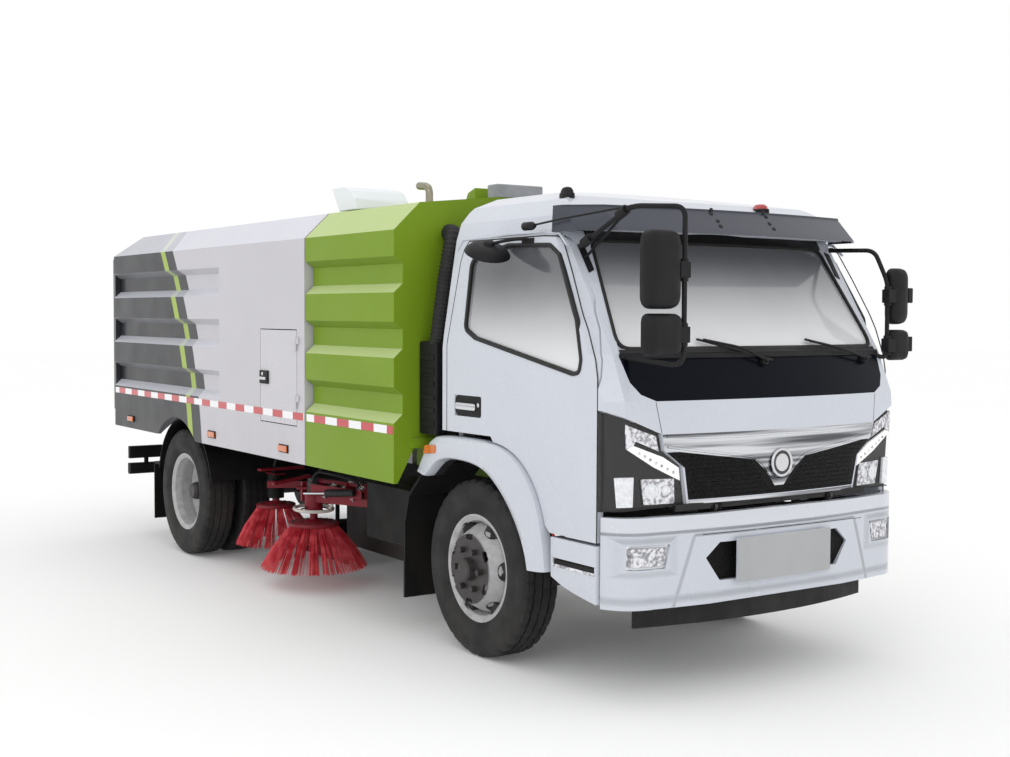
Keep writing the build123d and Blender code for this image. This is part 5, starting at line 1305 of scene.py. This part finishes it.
step_rear, step_front, step_top, step_y = 0.734, 1.0875, 0.744, (0.890, 0.9835)
slot_low, slot_high, slot_rear, slot_front = 0.616, 0.646, 0.752, 1.076
slot_z = (slot_low - 0.001, slot_high + 0.001)
ABOVE_SLOT = [(step_rear, step_top), (step_front, step_top), (step_front, slot_high), (step_rear, slot_high)]
BELOW_SLOT = [(step_rear, slot_low), (step_front, slot_low), (step_front, 0.472), (0.935, 0.496),
              (0.832, 0.518), (0.736, 0.552)]
steps, treads, lips = Forms(), Forms(), Forms()
for side, _ in SIDES:
    for outline in (ABOVE_SLOT, BELOW_SLOT):
        steps.through(outline, side * step_y[0], side * step_y[1])
    steps.block((step_rear, step_front), (step_y[0], 0.930), slot_z, side)
    for ends in ((step_rear, slot_rear), (slot_front, step_front)):
        steps.block(ends, step_y, slot_z, side)
    treads.block((slot_rear, slot_front), (0.929, 0.974), (slot_low - 0.001, slot_low + 0.020), side)
    for k in range(14):
        x = slot_rear + 0.012 + k * 0.0232
        treads.block((x, x + 0.012), (0.929, 0.974), (slot_low + 0.019, slot_low + 0.025), side)
    lip_z = (slot_low - 0.012, slot_low + 0.002)
    lips.block((slot_rear - 0.006, slot_front + 0.006), (0.972, 0.9855), lip_z, side)
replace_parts(steps.done("step_skins", "white_paint", "chassis", 0.003), "step_panels")
treads.done("step_treads", "black_plastic", "chassis")
lips.done("step_lips", "lamp_silver", "chassis", 0.002)


# ------------------------------------------------------------------ hand holes of the front wheels, as black patches of painted shade on the rims
def squared(share):
    """A sine or cosine drawn outwards, for an oval with fuller ends."""
    return math.copysign(abs(share) ** 0.8, share)


hole_count, hole_reach, hole_half, hole_wide = 6, 0.232, 0.053, 0.027
for side, side_name in SIDES:
    holes = Forms()
    for k in range(hole_count):
        middle = math.radians(3 + 360 / hole_count * k)
        sunk, proud = [], []
        for j in range(20):
            a = 2 * math.pi * j / 20
            reach = hole_reach + hole_wide * squared(math.cos(a))
            heading = middle + hole_half / hole_reach * squared(math.sin(a))
            start = front_axle + Vector((reach * math.cos(heading), side * 1.2, reach * math.sin(heading)))
            face, normal = cast((f"front_rim_{side_name}",), start, Vector((0, -side, 0)))
            sunk.append(face - normal * 0.002)
            proud.append(face + normal * 0.0012)
        holes.loops([sunk, proud])
    # black patches on the rim stand in for the holes: painted shade
    holes.done(f"hand_hole_shade_{side_name}", "rubber_black", f"wheel_front_{side_name}")


# ------------------------------------------------------------------ behind the cab and on the roof
def corrugated(points, radius, pitch=0.022, depth=0.12):
    """A ribbed hose along a line."""
    line = resampled(points, step=pitch / 2)
    rings = []
    for k, spot in enumerate(line):
        along = (line[min(k + 1, len(line) - 1)] - line[max(k - 1, 0)]).normalized()
        u = along.cross(Vector((0.3, 1, 0.1))).normalized()
        size = radius * (1 - depth * (k % 2))
        rings.append([spot + spoke * size for spoke in spokes_between(u, along.cross(u), 16)])
    return Forms().loops(rings)


HOSE = [at(-0.492, -0.800, 2.260), at(-0.365, -0.850, 2.250), at(-0.365, -0.900, 2.000),
        at(-0.365, -0.952, 1.640)]
corrugated(bent(HOSE, 0.07), 0.050).done("intake_hose", "rubber_black", "chassis")
filter_box = Forms().block((-0.492, -0.310), (-0.995, -0.925), (1.150, 1.660))
filter_box.done("hose_box", "black_plastic", "chassis", 0.010)
ribs = Forms()
for k in range(6):
    ribs.block((-0.470, -0.330), (-1.001, -0.994), (1.200 + 0.072 * k, 1.226 + 0.072 * k))
ribs.done("hose_box_ribs", "black_plastic", "chassis", 0.002)

roof_z, roof_flat_y, roof_fall = 2.476, 0.48, 0.103  # the compartment's roof: flat middle, sloping sides
wedge_foot = [at(x, y, roof_z - 0.002) for x, y in ((-0.800, -0.500), (-0.700, -0.500), (-0.700, -0.360),
                                                    (-0.800, -0.360))]
wedge_top = [at(-0.790, -0.490, 2.520), at(-0.712, -0.490, 2.545), at(-0.712, -0.370, 2.545),
             at(-0.790, -0.370, 2.520)]
Forms().loops([wedge_foot, wedge_top]).done("roof_wedge", "green_paint", "chassis", 0.003)
silver_box = Forms().block((-0.630, -0.520), (-0.460, -0.140), (roof_z - 0.002, 2.556))
silver_box.done("roof_box", "grey_metal", "chassis", 0.008)

exhaust_end = (-0.890, 2.530)
EXHAUST = [at(-0.560, -0.890, 2.426), at(-0.560, -0.890, 2.518), at(-0.672, *exhaust_end)]
pipe = tube("exhaust_pipe", bent(EXHAUST, 0.045), 0.0215, "bright_steel", "chassis", smooth=False)
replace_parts(pipe, "exhaust_elbow")
mouth = Forms().turned(at(-0.6725, *exhaust_end), (-1, 0, 0.1), [(0, 0.018), (0.0015, 0.018)], 20)
mouth.done("exhaust_mouth", "rubber_black", "chassis")


def above_roof(x, y, z):
    """The point, or the one on the sloping roof over it."""
    return at(x, y, max(z, roof_z - roof_fall * (abs(y) - roof_flat_y) + 0.001))


HOOD = [(-1.500, 2.430), (-1.596, 2.575), (-1.480, 2.579), (-1.400, 2.570), (-1.345, 2.548), (-1.300, 2.500),
        (-1.278, 2.430)]  # (x, z)
hood = Forms().loops([[above_roof(x, y, z) for x, z in HOOD] for y in (-0.970, -0.600)])
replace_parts(hood.done("hood_shell", "hood_white", "chassis", 0.008), "roof_hood")
MOUTH = [at(-1.512, -0.940, 2.468), at(-1.512, -0.630, 2.468), at(-1.590, -0.630, 2.562),
         at(-1.590, -0.940, 2.562)]
hood_mouth = Forms().loops([MOUTH, [p - Vector((0.003, 0, 0.002)) for p in MOUTH]])
hood_mouth.done("hood_mouth", "mesh", "chassis")

# ------------------------------------------------------------------ dark fillers and curtains: painted shade in the gaps round the bumper and under the truck
# black shelf and lip fill the gap between bumper and grille: painted shade
shelf, curtains, fillers = Forms(), Forms(), Forms()
for low, high, front in ((-0.700, -0.445, 1.205), (-0.335, 0.335, 1.250), (0.445, 0.700, 1.205)):
    shelf.block((1.130, front), (low, high), (0.862, 0.872))
shelf.done("bumper_shelf", "rubber_black", "chassis")
Forms().block((1.236, 1.246), (-0.640, 0.640), (0.899, 0.930)).done("grille_lip", "rubber_black", "cab")
for side, _ in SIDES:
    # black sheets under the frame: painted shade for the dark under the truck
    curtains.block((-2.480, -1.480), (0.400, 0.408), (0.200, 0.600), side)
    fillers.block((0.690, 0.850), (0.900, 0.930), (0.750, 0.800), side)
curtains.block((-1.488, -1.480), (-0.400, 0.400), (0.200, 0.600))
curtains.done("shade_curtains", "rubber_black", "chassis")
# black fillers in the gap between step and door: painted shade
fillers.done("sill_fillers", "rubber_black", "cab")

# ------------------------------------------------------------------ tail
TAIL_LAMPS = {"lamp_red": (0.790, 0.880), "lamp_amber": (0.885, 0.970), "lamp_white": (0.975, 1.050)}
for material, y in TAIL_LAMPS.items():
    lens = Forms()
    for side, _ in SIDES:
        lens.block((-5.152, -5.139), y, (0.612, 0.688), side)
    lens.done(f"tail_{material}", material, "chassis", 0.005)
gate_x = -5.248
gate_skin = gate_x + 0.001
rear_plate = Forms().block((gate_x - 0.003, gate_skin), (-0.230, 0.230), (1.375, 1.510))
rear_plate.done("rear_plate_blank", "plate_grey", "tailgate", 0.001)
for material, start, count in (("lamp_red", -1.040, 11), ("plate_grey", -0.940, 10)):
    tape = Forms()
    for k in range(count):
        tape.block((gate_x - 0.0015, gate_skin), span(start + 0.2 * k, 0.045), (1.140, 1.190))
    tape.done(f"gate_tape_{material}", material, "tailgate")
latches, reflectors = Forms(), Forms()
for side, _ in SIDES:
    for z in ((1.340, 1.500), (1.660, 1.820)):
        latches.block((gate_x - 0.016, gate_skin), span(1.100, 0.020), z, side)
    for y in (0.50, 0.62):
        disc = [(0, 0.030), (0.005, 0.030), (0.007, 0.024)]
        reflectors.turned(at(-5.1495, side * y, 0.515), (-1, 0, 0), disc, 24)
latches.done("gate_latches", "grey_metal", "tailgate", 0.004)
reflectors.done("rear_reflectors", "lamp_red", "chassis")

# ------------------------------------------------------------------ hatch lock
lock = Forms().block((-2.257, -2.133), (-body_y - 0.012, -body_y + 0.002), (1.354, 1.440))
lock.done("hatch_lock_plate", "black_plastic", "side_hatch", 0.003)
latch = Forms().block((-2.240, -2.150), (-body_y - 0.020, -body_y - 0.011), (1.380, 1.398))
latch.turned(at(-2.195, -body_y - 0.010, 1.418), (0, -1, 0), [(0, 0.012), (0.010, 0.012), (0.012, 0.008)], 16)
latch.done("hatch_latch", "rod_chrome", "side_hatch", 0.001)


# ------------------------------------------------------------------ sweeping gear on the broom arms
def coil(start, end, radius, turns, steps=12):
    """Points of a helical spring."""
    spokes = unit_circle(end - start, steps)
    count = turns * steps
    return [start.lerp(end, k / count) + spokes[k % steps] * radius for k in range(count + 1)]


def make_arm_gear(side, side_name):
    """Bars, motor, spray ring, hoses and springs of a front broom's arm."""
    body = f"broom_arm_{side_name}"

    def spots(*places):
        return [at(x, side * y, z) for x, y, z in places]

    red = Forms()
    red.beam(*spots((-1.770, 0.602, 0.690), (-2.210, 0.780, 0.700)), 0.040, 0.022)
    red.beam(*spots((-1.770, 0.668, 0.640), (-2.120, 0.860, 0.660)), 0.012, 0.060)
    red.beam(*spots((-2.150, 0.700, 0.650), (-2.250, 0.900, 0.650)), 0.050, 0.016)
    for x, y, z in ((-1.782, 0.607, (0.600, 0.705)), (-2.180, 0.768, (0.600, 0.712)),
                    (-2.255, 0.830, (0.560, 0.690)), (-1.930, 0.668, (0.600, 0.700))):
        red.block(span(x, 0.012), span(y, 0.035), z, side)
    flange = [(0, 0.075), (0.010, 0.075), (0.010, 0.030), (0.030, 0.030)]
    red.turned(at(-2.200, side * 0.800, 0.612), up, flange, 24)
    red.done(f"arm_frame_{side_name}", "red_paint", body, 0.002)
    ram_start, ram_end = spots((-1.790, 0.710, 0.655), (-2.140, 0.880, 0.625))
    barrel = [(0, 0.014), (0.006, 0.024), (0.230, 0.024), (0.236, 0.016)]
    ram = Forms().turned(ram_start, ram_end - ram_start, barrel, 20)
    ram.done(f"arm_ram_{side_name}", "rubber_black", body, smooth=True)
    rod = spots((-1.930, 0.780, 0.641), (-2.160, 0.890, 0.623))
    tube(f"arm_ram_rod_{side_name}", rod, 0.009, "rod_chrome", body, smooth=False)
    motor_foot, ring_centre, stay_top = [at(-2.200, side * 0.800, z) for z in (0.620, 0.512, 0.525)]
    motor = Forms().turned(motor_foot, up, [(0, 0.045), (0.070, 0.045), (0.074, 0.038), (0.095, 0.038)], 20)
    motor.done(f"arm_motor_cap_{side_name}", "cast_grey", body, smooth=True)
    ring_reach = 0.128
    ring = Forms().torus(ring_centre, (0.05, 0.0, 1), ring_reach, 0.0115, 40, 8)
    ring.done(f"spray_ring_{side_name}", "hose_white", body, smooth=True)
    stays = Forms()
    for k in range(3):
        a = math.radians(40 + 120 * k)
        out = Vector((math.cos(a), math.sin(a), 0))
        stays.beam(stay_top + out * 0.055, ring_centre + out * ring_reach, 0.014, 0.006)
    stays.done(f"spray_ring_stays_{side_name}", "black_paint", body)
    feed = spots((-2.095, 0.735, 0.520), (-2.03, 0.72, 0.60), (-1.95, 0.66, 0.72), (-1.84, 0.63, 0.70),
                 (-1.79, 0.62, 0.62))
    tube(f"spray_feed_{side_name}", feed, 0.0105, "hose_white", body)
    for k, (lean, high) in enumerate(((0.00, 0.80), (0.035, 0.76))):
        line = spots((-2.20 + lean, 0.79 + lean, 0.69), (-2.20 + lean, 0.78 + lean, 0.76),
                     (-2.10, 0.73 + lean, high),
                     (-1.90, 0.64 + lean, high - 0.03), (-1.82, 0.62 + lean, 0.70),
                     (-1.79, 0.61 + lean, 0.61))
        tube(f"arm_hose_{side_name}_{k}", line, 0.010, "rubber_black", body)
    for k, (x, y) in enumerate(((-2.06, 0.80), (-1.86, 0.70))):
        spring = coil(*spots((x, y, 0.60), (x + 0.09, y - 0.045, 0.70)), 0.016, 8)
        tube(f"arm_spring_{side_name}_{k}", spring, 0.003, "rod_chrome", body, smooth=False)

    # the rear broom's bracket and hose on the chassis
    back = Forms()
    back.beam(*spots((-2.950, 0.520, 0.700), (-2.950, 0.860, 0.700)), 0.060, 0.016)
    back.beam(*spots((-2.780, 0.620, 0.600), (-2.900, 0.820, 0.600)), 0.014, 0.050)
    back.beam(*spots((-2.760, 0.560, 0.660), (-2.760, 0.840, 0.620)), 0.050, 0.020)
    back.block((-3.020, -2.880), span(0.730, 0.045), (0.664, 0.672), side)
    back.done(f"rear_broom_bracket_{side_name}", "red_paint", "chassis", 0.002)
    line = spots((-2.95, 0.74, 0.71), (-2.94, 0.74, 0.79), (-2.80, 0.70, 0.80), (-2.65, 0.62, 0.76),
                 (-2.55, 0.50, 0.72))
    tube(f"rear_broom_hose_{side_name}", line, 0.010, "rubber_black", "chassis")


for side, side_name in SIDES:
    make_arm_gear(side, side_name)


# ------------------------------------------------------------------ floor and light
def make_floor():
    mesh = bpy.data.meshes.new("floor")
    half = 60.0
    corners = [(-half, -half, 0), (half, -half, 0), (half, half, 0), (-half, half, 0)]
    mesh.from_pydata(corners, [], [(0, 1, 2, 3)])
    floor = linked("floor", mesh)
    s = Shader("pale_floor")
    s.set(Base_Color=s.blend(s.noise(0.6, 2), (0.93, 0.93, 0.93, 1), (0.95, 0.95, 0.95, 1)), Roughness=0.9)
    s.set(Emission_Color=(1, 1, 1, 1), Emission_Strength=0.05)
    mesh.materials.append(s.material)


def soft_light(name, place, target, size, watts):
    data = bpy.data.lights.new(name, "AREA")
    data.shape, data.size, data.energy = "DISK", size, watts
    lamp = linked(name, data)
    lamp.location = place
    lamp.rotation_mode = "QUATERNION"
    lamp.rotation_quaternion = (target - place).to_track_quat("-Z", "Y")


def make_light():
    world = bpy.data.worlds.new("studio")
    world.use_nodes = True
    back = world.node_tree.nodes["Background"]
    back.inputs["Color"].default_value = (1.0, 1.0, 1.0, 1)
    back.inputs["Strength"].default_value = 1.0
    bpy.context.scene.world = world
    soft_light("key", at(7.0, -9.0, 8.0), at(-1, 0, 1), 6.0, 110)
    soft_light("top", at(-1.5, -1.0, 9.0), at(-1.5, 0, 1), 7.0, 60)
    bpy.context.scene.view_settings.view_transform = "Standard"


make_floor()
make_light()
